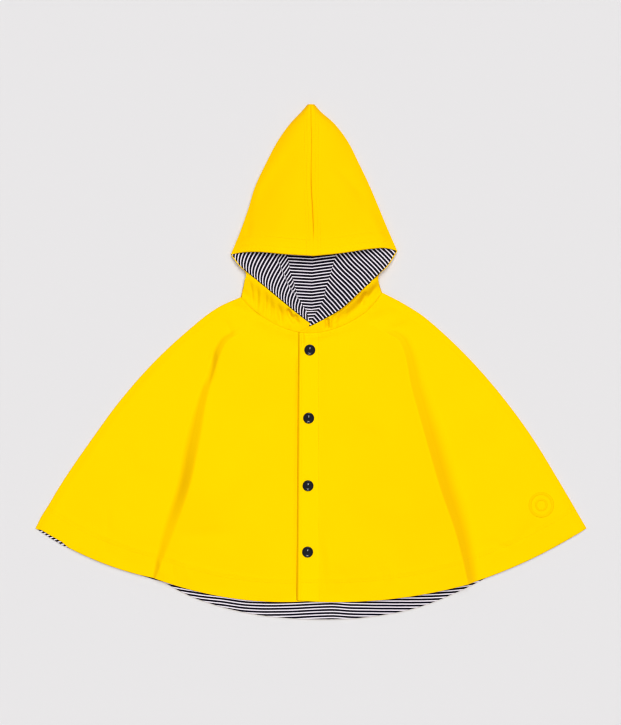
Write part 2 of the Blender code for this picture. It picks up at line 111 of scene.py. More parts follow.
# Hood and opening
OPENING_TOP_X = 3.0
OPENING_TOP_Y = 117.6
PEAK_Y = 287.9
CROWN_POWER = {"left": 2.2, "right": 2.5}
LEAST_CROWN = 1.0
NECK_BACK_Y = 57.0
STRIP_REACH = {"left": 11.0, "right": 13.0}
STRIP_LENGTH = 55.0
SEAM_PULL = 3
SEAM_BREAK = 0.7
UNDER_CURL = 0.2
PINCH_CORNERS = {"left": (85.0, 107.0), "right": (-79.0, 107.0)}
PINCH_REACH = 17.0
PINCH_FADE = 12.0
PINCHED_WALL = 0.2

# Linings
LINING_HEM_INSET = 0.5
LINING_SIDE_INSET = 4.2
LINING_PEAK = 0.84
LINING_FOLD = 4.5
LINING_INSET_EDGE = 1.0
LINING_INSET = 6.0
LINING_BELOW_CROWN = OUTER_WALL + 0.9
LINING_SET_BACK = 1.2
SET_BACK_POWER = 8
FLAP_FALL = 1.15
FLAP_SINK = 2.5
FLAP_ROUND = 8
FLAP_END = {"left": 0.895, "right": 0.85}
MITRE_LIFT = 1.5
FACE_RIM = 1.0
FACE_RIM_DROP = 0.4

# Rows of stitches, by their distance from the edge or seam that they follow
HEM_ROWS = (21.0, 24.6)
NECK_ROW = 2.8
CROWN_ROWS = (5.0, 8.0)
FACE_ROWS = (8.0, 18.0)
FACING_X = 9.4
FACING_RAISE = 0.4
STITCH_GROOVE = 0.28
STITCH_GROOVE_WIDTH = 1.3
STITCH_RISE = 0.12

# Stripes
STRIPE_REPEAT = 3.4
FLAP_REPEAT = {"left": 3.84, "right": 3.9}
TUCK_REPEAT = 3.35
MIDDLE_REPEAT = 3.54
MIDDLE_RISE = {"left": 0.13, "right": 0.055}
FLAP_CORNER = {"left": (88.0, 113.0), "right": (-78.0, 110.0)}
FLAP_FOOT = {"left": (10.0, 49.0), "right": (-5.0, 50.0)}

TURN = 2 * math.pi


def table(columns, *rows):
    """The named columns of a table. The rest are read along the first one, share."""
    return dict(zip(columns.split(), np.array(rows, float).T))


# Across a front, neck seam to hem: the side seam, the soft fold, how far the fold drops, and how far
# its slope starts inside the fold line and ends outside it
FRONT_COLUMNS = "share side_x side_y fold_x fold_y drop lead reach"
FRONTS = {
    "left": table(
        FRONT_COLUMNS,
        (0 / 12, 79.6, 77.6, 58, 53.5, 0, 6, 8), (1 / 12, 104.2, 64.8, 84, 38.6, 1.6, 6, 8),
        (2 / 12, 129.4, 48.2, 105.3, 23.7, 4.8, 6, 9), (4 / 12, 173.2, 7.7, 120.1, -28.8, 8.4, 8, 13),
        (6 / 12, 212.7, -37.1, 135.1, -82.6, 11.8, 8, 17),
        (8 / 12, 247.6, -84.5, 150.5, -136.3, 13.2, 8, 18),
        (10 / 12, 278.6, -135.1, 167.7, -189.5, 11, 7, 15),
        (12 / 12, 308.4, -186.2, 179.5, -247, 8, 4.5, 12),
    ),
    "right": table(
        FRONT_COLUMNS,
        (0 / 12, -78.3, 72.6, -56, 52, 0, 6, 8), (1 / 12, -104.4, 60.6, -80.5, 36.6, 1.6, 5, 6),
        (2 / 12, -129.2, 42.2, -100.5, 20.3, 4.4, 5, 5.5),
        (4 / 12, -172.3, 3, -119.2, -30.7, 4.4, 6, 5), (6 / 12, -211.5, -40.9, -131.1, -84, 8, 8.5, 10),
        (8 / 12, -246.3, -88.1, -141.4, -137.7, 9.4, 7, 10),
        (10 / 12, -279.4, -136.6, -159.7, -189.3, 5.6, 7, 8),
        (12 / 12, -308.4, -186.2, -175.4, -241.8, 2.6, 2.2, 2.6),
    ),
}

# The back hem, along its share from the right wing to the left one
BACK_HEM = table(
    "share y",
    (0, -186.2), (0.055, -206.8), (0.15, -230.6), (0.235, -247.6), (0.262, -256.4), (0.3, -266.6),
    (0.36, -277.5), (0.43, -285), (0.52, -288), (0.6, -285.6), (0.69, -275.3), (0.77, -256.4),
    (0.85, -231.6), (0.95, -202.4), (1, -186.2),
)
# The height of one dark stripe beside the back hem, along x
HEM_STRIPE = table(
    "share y",
    (-320, -247), (-262, -235), (-200, -250), (-160, -259.6), (-125, -265.6), (-100, -268.4),
    (-70, -272.3), (-31, -272.8), (23, -270.7), (45, -272), (106, -272.7), (140, -272.2), (170, -270.1),
    (320, -250),
)

# The hood, from its opening to its point, then the opening's upper edge, from the seam to each side
HOOD_ROWS = table(
    "share left_x right_x seam_x crown fold",
    (0, 96.4, -89.5, 3, 18, 6), (0.15, 85.6, -79.1, 2.8, 16.8, 5.4), (0.3, 75.5, -70.2, 1.9, 15.4, 5),
    (0.45, 65.1, -62.5, 0.4, 14, 4.7), (0.6, 53.4, -50.8, 0.2, 12.6, 4.4),
    (0.75, 40.9, -37.6, 0.8, 11, 4.2), (0.87, 26, -23.5, 0.2, 9.2, 3.9),
    (0.95, 11.2, -10.9, 0, 7.6, 3.6), (1, 4.2, -3.8, 0, 6.4, 3.2),
)
FACE_TOP = table(
    "share left_y right_y",
    (0, 117.6, 117.6), (0.33, 120.8, 119.5), (0.66, 125.5, 122.3), (0.85, 126.8, 122),
    (1, 124.2, 119.9),
)

# The turned-out part, from the opening's corners to the free edge: the face edge, the folded side,
# the height at the foot of the strip, and the mitre line in the lining
NECK_COLUMNS = "share edge_x edge_y edge_z side_x side_y side_z base_z mitre_x mitre_y"
NECK_ROWS = {
    "left": table(
        NECK_COLUMNS,
        (0, 96.4, 124.2, 6, 96.4, 124.2, 6, 6, 27.9, 119.4),
        (0.1, 87.6, 109.2, 8.2, 86.4, 110.3, 5.6, 7.2, 26.6, 114),
        (0.2, 77.7, 99.4, 10, 76.9, 98.5, 5.2, 8, 24.8, 108),
        (0.4, 57.5, 79.8, 13, 75.6, 92, 4.6, 7.6, 20.8, 96),
        (0.6, 35.2, 59.6, 12.4, 76.8, 86, 4.2, 6.8, 17.2, 84),
        (0.8, 11.3, 45.8, 9, 78.3, 81.2, 3.8, 5.8, 14.4, 71),
        (1, -14.5, 33, 6.2, 79.6, 77.6, 3.2, 4.4, 8.4, 57.4),
    ),
    "right": table(
        NECK_COLUMNS,
        (0, -89.5, 119.9, 6, -89.5, 119.9, 6, 6, -26, 118.2),
        (0.1, -81.2, 108.6, 7.8, -80.2, 109.8, 5.6, 7.2, -25.2, 112.4),
        (0.2, -72, 100.5, 9, -72.8, 99.5, 5.2, 8, -23.9, 106),
        (0.4, -49, 81.7, 10.2, -74.2, 91.6, 4.6, 7.6, -20.8, 94),
        (0.6, -28.9, 65, 10.2, -75.7, 84.4, 4.2, 6.8, -17.1, 81),
        (0.8, -8.4, 48.6, 8.2, -77.1, 78.3, 3.8, 5.2, -12.8, 69),
        (1, 13, 33, 4.4, -78.3, 72.6, 3.2, 4.4, -5.6, 57.4),
    ),
}

# The share of a crease over which it fades at either end
CREASE_FADE = 0.34
# Listed creases: start x and y, end x and y, how far it bends, its width, its height (a trough is
# below nought) and how much wider its left-hand flank is than its right-hand one
CREASES = {
    "front_left": (
        (60, 45, 104, 60, -2, 10, -0.9, 0.2), (80, 29, 114, 44, 2, 9, -0.8, -0.2),
        (-6, 19, 34, 30, 2.5, 7, -0.6, 0), (-2, 26, 28, 35, -2, 6, 0.5, 0),
        (8, -198, 15, -262, 1.5, 7, -0.7, 0.3), (28, -226, 42, -256, 2, 7, -0.5, 0),
        (74, -220, 78, -252, 1, 5, -0.5, 0), (88, -222, 93, -250, -1, 5, 0.5, 0),
        (226, -206, 256, -180, 2, 7, -0.5, 0.2), (254, -219, 304, -186, -3, 8, -0.6, 0),
        (194, -202, 230, -213, 2, 8, -0.5, 0), (44, -60, 96, -84, 3, 26, 0.5, 0.3),
        (40, -150, 120, -170, -4, 30, 0.5, 0), (175, -40, 205, -96, 4, 24, 0.5, 0),
        (-9.2, 38, -9.36, 12, 0, 3.4, -1.5, 0),
    ),
    "front_right": (
        (-94, 64, -50, 46, 2, 10, -1, 0.2), (-60, 50, -49, 8, 1.5, 11, -0.5, 0),
        (-97, 48, -88, 26, 1, 6, -0.8, 0), (-228, -160, -229, -194, 1, 8, -0.5, 0),
        (-230, -196, -229, -218, 0, 8, -0.4, 0), (-158, -198, -72, -191, 2, 15, -0.45, 0),
        (-172, -214, -166, -244, 1, 7, 0.6, 0), (-156, -216, -150, -248, -1, 7, -0.6, 0),
        (-142, -220, -136, -250, 1, 7, 0.5, 0), (-96, -60, -40, -96, -3, 26, 0.5, 0),
        (-200, -70, -176, -130, -4, 24, 0.6, 0), (-28, 34, -19, 2, 0, 9, -0.7, 0.3),
        (-17, 38, -17, 8, 0, 6, -1, 0), (-108, 18, -117, -30, 2, 9, -1.8, 0),
    ),
    "hood_left": (
        (16, 228, 66, 172, 3, 15, -1, 0.2), (6, 200, 60, 142, -6, 15, -0.8, 0),
        (56, 176, 88, 128, 2, 12, 0.6, 0),
    ),
    "hood_right": (
        (-4, 250, -66, 166, -3, 19, -1.2, 0.2), (-72, 174, -71, 134, 0, 8, -0.8, 0),
        (-18, 182, -50, 132, 2, 18, 0.5, 0),
    ),
    "strip_left": (
        (66, 88, 14, 42, 3, 11, -1.3, 0.5), (62, 80, 54, 62, 0.5, 6, -2.4, 0),
        (17.6, 53, 18.4, 35, 0.3, 3.6, -2.2, 0), (20.8, 53, 21.4, 37, 0.3, 4, 1.6, 0),
        (76, 88, 61, 66, -1, 4.5, -0.8, 0), (40, 64, 38, 46, 0.5, 5, 0.7, 0),
        (30, 56, 27, 42, 0.5, 4, 0.8, 0),
    ),
    "strip_right": (
        (-69, 94, -65, 60, 1, 3.6, -0.9, 0), (-60, 88, -61, 54, 0.6, 4, -0.9, 0),
        (-50, 82, -52, 47, 0.5, 3.6, -1, 0), (-44, 76, -46, 45, -0.5, 4, -0.9, 0),
        (-36, 66, -33, 39, 0.5, 4.4, -1.3, 0), (-27, 60, -20, 44, 1, 6, -1.8, 0.2),
        (-40, 70, -39, 42, 0, 4, 0.7, 0), (-18, 49, -13, 42, 0, 4, -1.2, 0),
        (-26, 61, -23, 48, 0, 4.6, -1.4, 0), (-22.4, 61, -19.6, 50, 0, 4, 1.2, 0),
        (-22, 42, -14, 54, 0, 5, -1.8, 0), (-56, 84, -56, 50, 0, 4, 0.5, 0),
    ),
    "flap_left": (
        (60, 118, 30, 78, 3, 12, 0.8, 0), (46, 92, 26, 66, 2, 9, -0.6, 0),
    ),
    "flap_right": (
        (-34, 106, -27, 97, 0.5, 3.2, 1, 0), (-26, 90, -21, 82, 0.5, 3, 0.9, 0),
        (-60, 110, -30, 76, -2, 10, 0.7, 0),
    ),
}


def looks():
    """The cape's settings for cloth, thread and snaps."""
    return bpy.context.scene.cape_looks


# ---------------------------------------------------------------- shape helpers

def mix(a, b, share):
    return a + (b - a) * share


def mix_points(a, b, share):
    return tuple(mix(p, q, share) for p, q in zip(a, b))


def ease(share):
    share = np.clip(share, 0.0, 1.0)
    return share * share * (3 - 2 * share)


def fade(share):
    return 1 - ease(share)


def read(columns, name, share):
    """A column of a table at any shares, on a smooth curve through its rows."""
    shares, values = columns["share"], columns[name]
    rows = np.arange(len(shares))
    low, high = np.maximum(rows - 1, 0), np.minimum(rows + 1, len(rows) - 1)
    slopes = (values[high] - values[low]) / (shares[high] - shares[low])
    k = np.clip(np.searchsorted(shares, share, side="right") - 1, 0, len(rows) - 2)
    width = shares[k + 1] - shares[k]
    t = (share - shares[k]) / width
    start = values[k] * (1 + 2 * t) * (1 - t) ** 2 + slopes[k] * width * t * (1 - t) ** 2
    end = values[k + 1] * t * t * (3 - 2 * t) + slopes[k + 1] * width * t * t * (t - 1)
    return start + end


def read_all(columns, names, share):
    return tuple(read(columns, name, share) for name in names.split())


def coons(across, down, left, right, top, bottom):
    """Points inside four edge curves."""
    sides = mix_points(left(down), right(down), across)
    ends = mix_points(top(across), bottom(across), down)
    corners = mix_points(mix_points(top(0), top(1), across), mix_points(bottom(0), bottom(1), across), down)
    return tuple(s + e - c for s, e, c in zip(sides, ends, corners))


def panel(across, down, left, right, top_bow, bottom_bow):
    """Points between two curves whose ends are joined by lines that bow towards -Y."""
    def bowed(end, bow):
        start, stop = left(end), right(end)
        return lambda share: (mix(start[0], stop[0], share),
                              mix(start[1], stop[1], share) - 4 * bow * share * (1 - share))

    return coons(across, down, left, right, bowed(0, top_bow), bowed(1, bottom_bow))


def roll(distance, radius, depth):
    """How far cloth curls down near an edge or a fold, at each distance from it."""
    turn = np.clip(1 - distance / radius, 0.0, 1.0)
    return depth * (1 - np.sqrt(1 - turn * turn))


def groove(distance, depth=STITCH_GROOVE, width=STITCH_GROOVE_WIDTH):
    """How deep a row of stitches or a seam pulls the cloth in."""
    return depth * np.exp(-(distance / (width / 2)) ** 2)


def neck_groove(to_neck):
    """How far the neck seam draws in the cloth on both sides of it."""
    return roll(to_neck, 0.8, 0.25) + groove(to_neck, 0.6, 5.5)


def creased(part, side, x, y):
    """The height that creases add at each point."""
    total = np.zeros_like(x)
    for x0, y0, x1, y1, bend, width, height, lean in CREASES[part + "_" + side]:
        line = Vector((x1 - x0, y1 - y0))
        unit = line.normalized()
        dx, dy = x - x0, y - y0
        along = (dx * unit.x + dy * unit.y) / line.length
        aside = dy * unit.x - dx * unit.y - 4 * bend * along * (1 - along)
        flank = np.where(aside > 0, 1 + lean, 1 - lean) * width / 2
        taper = ease(along / CREASE_FADE) * ease((1 - along) / CREASE_FADE)
        total = total + height * taper * np.exp(-(aside / flank) ** 2)
    return total * looks().crease_scale


def wavy(x, y):
    """Faint undulation of cloth that lies loose."""
    waves = np.sin(x / 17.0 + y / 31.0) + np.sin(x / -23.0 + y / 13.0 + 1.3)
    return WAVE_HEIGHT * (waves + 0.6 * np.sin(x / 9.0 - y / 15.0 + 2.1))


def puckers(along, distance, height, reach):
    """Small uneven ripples beside a seam, fading away from it."""
    ripple = np.sin(along / 1.9) + 0.7 * np.sin(along / 1.13 + 2.0) + 0.8 * np.sin(along / 3.1 + 0.7)
    return height * ripple * np.exp(-np.abs(distance) / reach)


# ---------------------------------------------------------------- fronts and back

def side_line(side, down):
    return read_all(FRONTS[side], "side_x side_y", down)


def fold_line(side, down):
    return read_all(FRONTS[side], "fold_x fold_y", down)


def front_edge(side, down):
    return LAP_EDGE_X[side] - EDGE_SLANT * down, mix(NECK_FRONT_Y, HEM_FRONT_Y, down)


def spans(side, down):
    """The distances in mm across a front at each height, inside and outside its fold."""
    fold = fold_line(side, down)
    ends = front_edge(side, down), side_line(side, down)
    return tuple(np.hypot(end[0] - fold[0], end[1] - fold[1]) for end in ends)


def lap_lift(side, x):
    """How far the left front rides up over the right one."""
    return LAP_LIFT[side] * fade((x - LAP_EDGE_X["right"] - LAP_REST) / LAP_FADE)


def front_plan(side, across, down):
    """The front in plan: across runs from 0 at the free edge to 1 at the fold and 2 at the side."""
    edge, fold, seam = (partial(line, side) for line in (front_edge, fold_line, side_line))
    neck_inner, neck_outer, hem_inner, hem_outer = FRONT_BOW[side]
    inner = panel(np.minimum(across, 1.0), down, edge, fold, neck_inner, hem_inner)
    wing = panel(np.maximum(across - 1, 0.0), down, fold, seam, neck_outer, hem_outer)
    return tuple(np.where(across <= 1, i, w) for i, w in zip(inner, wing))


def fold_height(side, across, down):
    """The soft fold that runs down each front: a long rise, a crest, and a short slope to the wing."""
    drop, lead, reach = read_all(FRONTS[side], "drop lead reach", down)
    inner, wing = spans(side, down)
    distance = (across - 1) * np.where(across <= 1, inner, wing)
    rise = np.clip(across / (1 - lead / inner), 0.0, 1.0) ** RIDGE_RISE
    slope = np.clip((distance + lead) / (lead + reach), 0.0, 1.0)
    return drop * rise * fade(slope ** FOLD_SKEW[side])


def corner_peep(x):
    """How far the right front's hem is drawn back at each place along it."""
    return CORNER_PEEP * ease((x - CORNER_FROM) / 6) * ease((CORNER_TO - x) / 10)


def front_point(side, across, down):
    x, y = front_plan(side, across, down)
    inner, wing = spans(side, down)
    to_hem, to_neck = (1 - down) * FRONT_LENGTH, down * FRONT_LENGTH
    to_side, to_edge = np.maximum(2 - across, 0.0) * wing, across * inner
    loose = ease(to_hem / 50) * ease(to_neck / 40) * ease(to_side / 40) * ease(to_edge / 40)
    z = FRONT_TOP + lap_lift(side, x) + looks().loft * loose
    z = z + fold_height(side, across, down) * looks().fold_scale
    z = z + creased("front", side, x, y) + wavy(x, y) * ease(to_hem / 12)
    z = z - sum(groove(to_hem - row) for row in HEM_ROWS) - groove(to_neck - NECK_ROW)
    z = z + FACING_RAISE * 0.6 * fade((to_hem - HEM_ROWS[-1] - 1.5) / 2.5)
    z = z + puckers(x, to_neck, 0.16, 9.0) + puckers(x * 0.7, to_hem - 22, 0.05, 12.0)
    z = mix(z, SIDE_SEAM_TOP, fade(to_side / 9.0) * ease(down / 0.12))
    z = z - roll(to_side, 0.8, 0.8) - roll(to_hem, 0.6, 0.6) - neck_groove(to_neck)
    by_neck = fade(to_neck / NECK_PLUMP_REACH)
    if side == "left":
        z = z + FACING_RAISE * fade((x - FACING_X) / 1.4 + 0.5) - groove(x - FACING_X)
        z = z + (EDGE_PLUMP + NECK_PLUMP * by_neck) * fade(to_edge / EDGE_PLUMP_REACH)
    else:
        beyond = front_edge("left", down)[0] - x
        dip = UNDER_LAP_DIP * ease((to_edge - 12) / 14) * ease((to_neck - 8) / 34) * ease(to_hem / 14)
        z = z - dip * np.clip(1 - beyond / UNDER_LAP_REACH, 0.0, 1.0) ** 2
    fall = EDGE_FALL[side] + NECK_FALL[side] * by_neck
    z = z - fall * np.clip(1 - to_edge / mix(EDGE_TURN, NECK_TURN, by_neck), 0.0, 1.0) ** 2
    return x, y + corner_peep(x) * fade(to_hem / 30), z + SEAM_RAISE * fade(to_neck / SEAM_FADE)


def back_neck(share):
    x, y = mix_points(side_line("right", 0), side_line("left", 0), share)
    return x, y - (y - NECK_BACK_Y) * np.sin(math.pi * share)


def back_point(top, side_inset, hem_inset, drawn, across, down):
    """The back, from its right side seam to its left one."""
    def seam(side, place):
        x, y = side_line(side, place)
        return x - SIGN[side] * side_inset * (1 - 0.85 * place ** 6), y

    def hem(share):
        x = mix(seam("right", 1)[0], seam("left", 1)[0], share)
        return x, read(BACK_HEM, "y", share) + hem_inset + drawn * corner_peep(x)

    def neck(share):
        return mix(seam("right", 0)[0], seam("left", 0)[0], share), back_neck(share)[1]

    x, y = coons(across, down, partial(seam, "right"), partial(seam, "left"), neck, hem)
    return x, y, np.full_like(x, top)


# ---------------------------------------------------------------- hood

def hood_width(side, share):
    return np.abs(read(HOOD_ROWS, side + "_x", share) - read(HOOD_ROWS, "seam_x", share))


def cone_top(side, across, share, inset=0.0):
    """The upper layer of the hood, from the centre seam to the folded side."""
    fold_x, seam_x, crown, fold = read_all(HOOD_ROWS, side + "_x seam_x crown fold", share)
    y = mix(read(FACE_TOP, side + "_y", across), PEAK_Y, share)
    z = mix(np.minimum(fold, crown - LEAST_CROWN), crown, np.maximum(0.0, 1 - across ** CROWN_POWER[side]))
    return mix(seam_x, fold_x - SIGN[side] * inset, across), y, z


def crown_point(side, across, share):
    """The crown with its seam, its stitched face edge and its creases."""
    x, y, z = cone_top(side, across, share)
    to_seam = across * hood_width(side, share)
    to_face = y - read(FACE_TOP, side + "_y", across)
    inside = ease((1 - across) * 6) * ease((1 - share) * 8)
    # The seam sinks deepest half-way up, and hardly at all beside the opening
    sunk = mix(0.1, 1.0, ease((y - 128.0) / 34.0)) * mix(1.0, 0.5, ease((y - 192.0) / 36.0))
    seam = roll(to_seam, 1.2, 1.1) + groove(to_seam, 0.4, 5.0)
    z = z - sunk * (seam + sum(groove(to_seam - row, 0.14) for row in CROWN_ROWS))
    z = z + inside * 0.3 * fade((to_face - FACE_ROWS[-1]) / 2.5)
    z = z - inside * sum(groove(to_face - row) for row in FACE_ROWS)
    z = z - roll(to_face, 1.6, 1.6) * ease((1 - across) * 12)
    return x, y, z + (creased("hood", side, x, y) + wavy(x, y)) * inside


def under_point(fold, centre, share):
    """The table side of the hood: it curls under from its folded side, then lies flat to the centre."""
    width = np.abs(fold[0] - centre[0])
    radius = np.minimum(fold[2], width / 2)
    flat = mix(radius, width, (share - UNDER_CURL) / (1 - UNDER_CURL))
    inward = np.where(share <= UNDER_CURL, radius * (share / UNDER_CURL), flat)
    x, y = mix_points(fold[:2], centre, inward / width)
    return x, y, roll(inward, radius, fold[2])


def cone_under(side, across, share):
    fold = crown_point(side, np.ones_like(share), share)
    centre = read(HOOD_ROWS, "seam_x", share), mix(OPENING_TOP_Y, PEAK_Y, share)
    return under_point(fold, centre, across)


def neck_seam(side, across):
    """The front neck seam from the free edge to the shoulder, on the front's own points."""
    inner, wing = across / SEAM_BREAK, (across - SEAM_BREAK) / (1 - SEAM_BREAK)
    x, y = front_plan(side, np.minimum(inner, 1.0) + np.maximum(wing, 0.0), np.zeros_like(across))
    return x, y, FRONT_TOP + lap_lift(side, x)


def neck_fold(side, share):
    """The folded side of the hood below the corners of its opening."""
    return read_all(NECK_ROWS[side], "side_x side_y side_z", share)


def near_face_edge(side, x, y):
    """Each point's distance from the turned-out face edge, and the edge's height there."""
    edge = read_all(NECK_ROWS[side], "edge_x edge_y edge_z", np.linspace(0.0, 1.0, 160))
    away = np.hypot(x[:, None] - edge[0], y[:, None] - edge[1])
    nearest = np.argmin(away, axis=1)
    return away[np.arange(len(x)), nearest], edge[2][nearest]


def strip_point(side, across, share):
    """The outside of the hood that shows between the turned-out face edge and the neck seam."""
    *edge, base = read_all(NECK_ROWS[side], "edge_x edge_y edge_z base_z", share)
    fold, seam = neck_fold(side, share), neck_seam(side, across)
    start, end = neck_seam(side, 0.0 * across), neck_seam(side, 0.0 * across + 1)
    pull = share ** SEAM_PULL
    x, y = (mix(edge[i], fold[i], across) + pull * (seam[i] - mix(start[i], end[i], across)) for i in (0, 1))
    width = np.hypot(edge[0] - fold[0], edge[1] - fold[1])
    away, edge_z = near_face_edge(side, x, y)
    fallen = ease(np.maximum(away / STRIP_REACH[side], across * fade((width - 3.0) / 12.0)))
    z = mix(np.where(across == 0, edge[2], edge_z), base, fallen)
    z = mix(z + lap_lift(side, x) * ease(share * 2 - 1), seam[2], pull)
    z = np.where(across >= 1, fold[2], z)
    inside = ease((1 - across) * 8) * ease(across * 12)
    to_neck = (1 - share) * STRIP_LENGTH
    z = z + (creased("strip", side, x, y) * ease(to_neck / 3.0) + puckers(x, to_neck, 0.2, 6.0)) * inside
    z = z + SEAM_RAISE * fade(to_neck / SEAM_FADE) * (across < 1)
    z = z - neck_groove(to_neck) * ease((1 - across) * 20)
    return x, y, z - roll(away, 0.5, 0.4) * ease((width - 1.5) / 6.0)


def neck_centre(share, z):
    """The hood's centre back seam, from the top of the opening down to the neck seam."""
    return OPENING_TOP_X * (1 - share), mix(OPENING_TOP_Y, NECK_BACK_Y, share), z


def neck_under(side, across, share):
    """The table side of the hood below the corners of its opening."""
    fold, centre = neck_fold(side, share), neck_centre(share, 0.0)
    x, y, z = under_point(fold, centre, across)
    inward = (x - fold[0]) / (centre[0] - fold[0])
    end = 1.0 if side == "left" else 0.0
    straight_y = mix(back_neck(end)[1], back_neck(0.5)[1], inward)
    return x, y + share ** SEAM_PULL * (back_neck(mix(end, 0.5, inward))[1] - straight_y), z


# ---------------------------------------------------------------- hood lining

def lining_inset(share):
    return mix(LINING_INSET_EDGE, LINING_INSET, ease(share * 2))


def lining_fold(side, share):
    """Where the lining folds inside the folded side of the hood."""
    x, y, z = cone_top(side, np.ones_like(share), share, lining_inset(share))
    return x, y, np.minimum(z, LINING_FOLD)


def lining_top(side, across, share):
    """The lining under the upper layer of the hood."""
    x, y, _ = cone_top(side, across, share, lining_inset(share))
    crown = read(HOOD_ROWS, "crown", share) - LINING_BELOW_CROWN
    z = mix(lining_fold(side, share)[2], crown, np.maximum(0.0, 1 - across ** CROWN_POWER[side]))
    return x, y + LINING_SET_BACK * (1 - share) ** SET_BACK_POWER, z


def mitre(side, share):
    """The mitre line; its last fifth rises over the back neck seam."""
    x, y = read_all(NECK_ROWS[side], "mitre_x mitre_y", share)
    return x, y, LINING_BASE + MITRE_LIFT * ease(share * 5 - 4)


def flap_fall(start, end, share):
    """The lining's turned-out part, falling from the face edge to the back of the hood."""
    x, y, _ = mix_points(start, end, share)
    return x, y, mix(end[2], start[2], (1 - share) ** FLAP_FALL)


def cone_flap(side, across, share):
    """The lining over the back of the hood, from the folded side to the mitre line, in the cone."""
    start = lining_fold(side, share)
    mitre_x, mitre_y, mitre_z = mitre(side, 0.0 * share)
    narrowing = read(HOOD_ROWS, side + "_x", share) / HOOD_ROWS[side + "_x"][0]
    x, y, z = flap_fall(start, (mitre_x * narrowing, mix(mitre_y, PEAK_Y, share), mitre_z), across)
    low = LINING_BASE + roll(across * FLAP_ROUND, 1.0, start[2] - LINING_BASE)
    return x, y, mix(z, low, ease(share * FLAP_SINK))


def cone_middle(side, across, share):
    foot = cone_flap(side, np.ones_like(share), share)
    centre = read(HOOD_ROWS, "seam_x", share), mix(OPENING_TOP_Y, PEAK_Y, share), LINING_BASE
    return mix_points(foot, centre, across)


def face_edge(side, share):
    """The lining's edge, just inside the turned-out face edge."""
    x, y, z = read_all(NECK_ROWS[side], "edge_x edge_y edge_z", share * FLAP_END[side])
    inset = x - SIGN[side] * FACE_RIM, y, z - FACE_RIM_DROP
    return mix_points(lining_fold(side, 0.0 * share), inset, ease(share * FLAP_ROUND))


def neck_flap(side, across, share):
    x, y, z = flap_fall(face_edge(side, share), mitre(side, share), across)
    inside = ease(across * 8) * ease((1 - across) * 8) * ease(share * 8) * ease((1 - share) * 8)
    return x, y, z + creased("flap", side, x, y) * inside


def neck_middle(side, across, share):
    return mix_points(mitre(side, share), neck_centre(share, LINING_BASE), across)


# ---------------------------------------------------------------- stripes

def broad(count, share):
    """The count that the knit reads: dark stripes a quarter past each whole number, broader by a share."""
    return count + 0.25 - share * np.sin(TURN * count) / TURN


def flap_stripes(side, x, y):
    """Stripe count on a turned-out flap: the stripes cross its face edge and lean towards the crown."""
    corner, foot = Vector(FLAP_CORNER[side]), Vector(FLAP_FOOT[side])
    unit = (foot - corner).normalized()
    dx, dy = x - corner.x, y - corner.y
    along = dx * unit.x + dy * unit.y
    inward = (dx * unit.y - dy * unit.x) * SIGN[side]
    if side == "left":
        drawn = 0.8 * np.sin(math.pi * np.clip(along / 75.0, 0.0, 1.0))
        lean = 0.1 * np.maximum(along - 55.0, 0.0) * ease((inward - 8.0) / 22.0) - 2.5 * ease(inward / 32.0)
        # The dark stripes are broader here: partly the knit's own stripe width, partly painted shade that
        # darkens the flap
        return broad((along + drawn + lean - 0.1) / FLAP_REPEAT[side], 0.18)
    drawn = -0.7 * np.sin(math.pi * np.clip(along / 60.0, 0.0, 1.0))
    lean = 0.13 * inward + 4.45 * (1 - np.exp(-np.maximum(inward, -3.0) / 6.5))
    turned_out = (along + drawn + lean - 5.04) / FLAP_REPEAT[side]
    tucked = (along + 0.08 * inward - 0.35) / TUCK_REPEAT - 1.0
    tuck = np.interp(along, (25.0, 36.0, 57.0, 75.0, 79.0), (31.0, 25.4, 14.4, 9.8, 20.0))
    under = ease((inward - tuck) / 1.2 + 0.5) * ease((along - 22.0) / 6.0)
    # The dark stripes are broader here: partly the knit's own stripe width, partly painted shade that darkens
    # the flap
    return broad(mix(turned_out, tucked, under), 0.1)


def middle_stripes(side, x, y):
    """Stripe count between the mitre lines: the stripes rise to both sides of the centre seam."""
    # The dark stripes are broader here: partly the knit's own stripe width, partly painted shade inside the
    # hood
    return broad((117.1 + MIDDLE_RISE[side] * np.abs(x - 1.0) - y) / MIDDLE_REPEAT, 0.2)


def hem_stripes(x, y):
    """Stripe count on the back lining."""
    return broad((read(HEM_STRIPE, "y", x) - y) / STRIPE_REPEAT, -0.1)


def placket_painted_light(x, y):
    """Painted light: where the left front is doubled by its facing, its cloth is painted a little brighter.
    """
    return fade((x - FACING_X) / 2.0 + 0.5)


def crown_painted_shade(x, y):
    """Painted shade: the crown's cloth is painted a little darker than the fronts', from the face edge
    towards the point.
    """
    return -1.1 * ease((y - 120.0) / 30.0)


# ---------------------------------------------------------------- meshes

def stations(count, start=(), end=(), length=100.0, power=1.0, power_end=1.0):
    """Shares from 0 to 1: evenly spread ones, plus some at given distances in mm from either end."""
    even = 1 - (1 - np.linspace(0.0, 1.0, count + 1) ** power) ** power_end
    near = [distance / length for distance in start]
    far = [1 - distance / length for distance in end]
    keep = even[(even > max(near, default=0.0) + 0.3 / count) & (even < min(far, default=1.0) - 0.3 / count)]
    return np.array(sorted({0.0, 1.0, *near, *far, *keep.tolist()}))


def configure(thing, **settings):
    """Sets attributes of a modifier, a node, a light or a camera."""
    for key, value in settings.items():
        setattr(thing, key, value)
    return thing


def add_object(name, data):
    made = bpy.data.objects.new(name, data)
    bpy.context.scene.collection.objects.link(made)
    return made


def add_mesh(name, finish, points, edges=(), faces=()):
    """A new object from plain points, smooth and with one finish."""
    mesh = bpy.data.meshes.new(name)
    mesh.from_pydata(points, edges, faces)
    mesh.materials.append(material_named(finish))
    mesh.shade_smooth()
    return add_object(name, mesh)


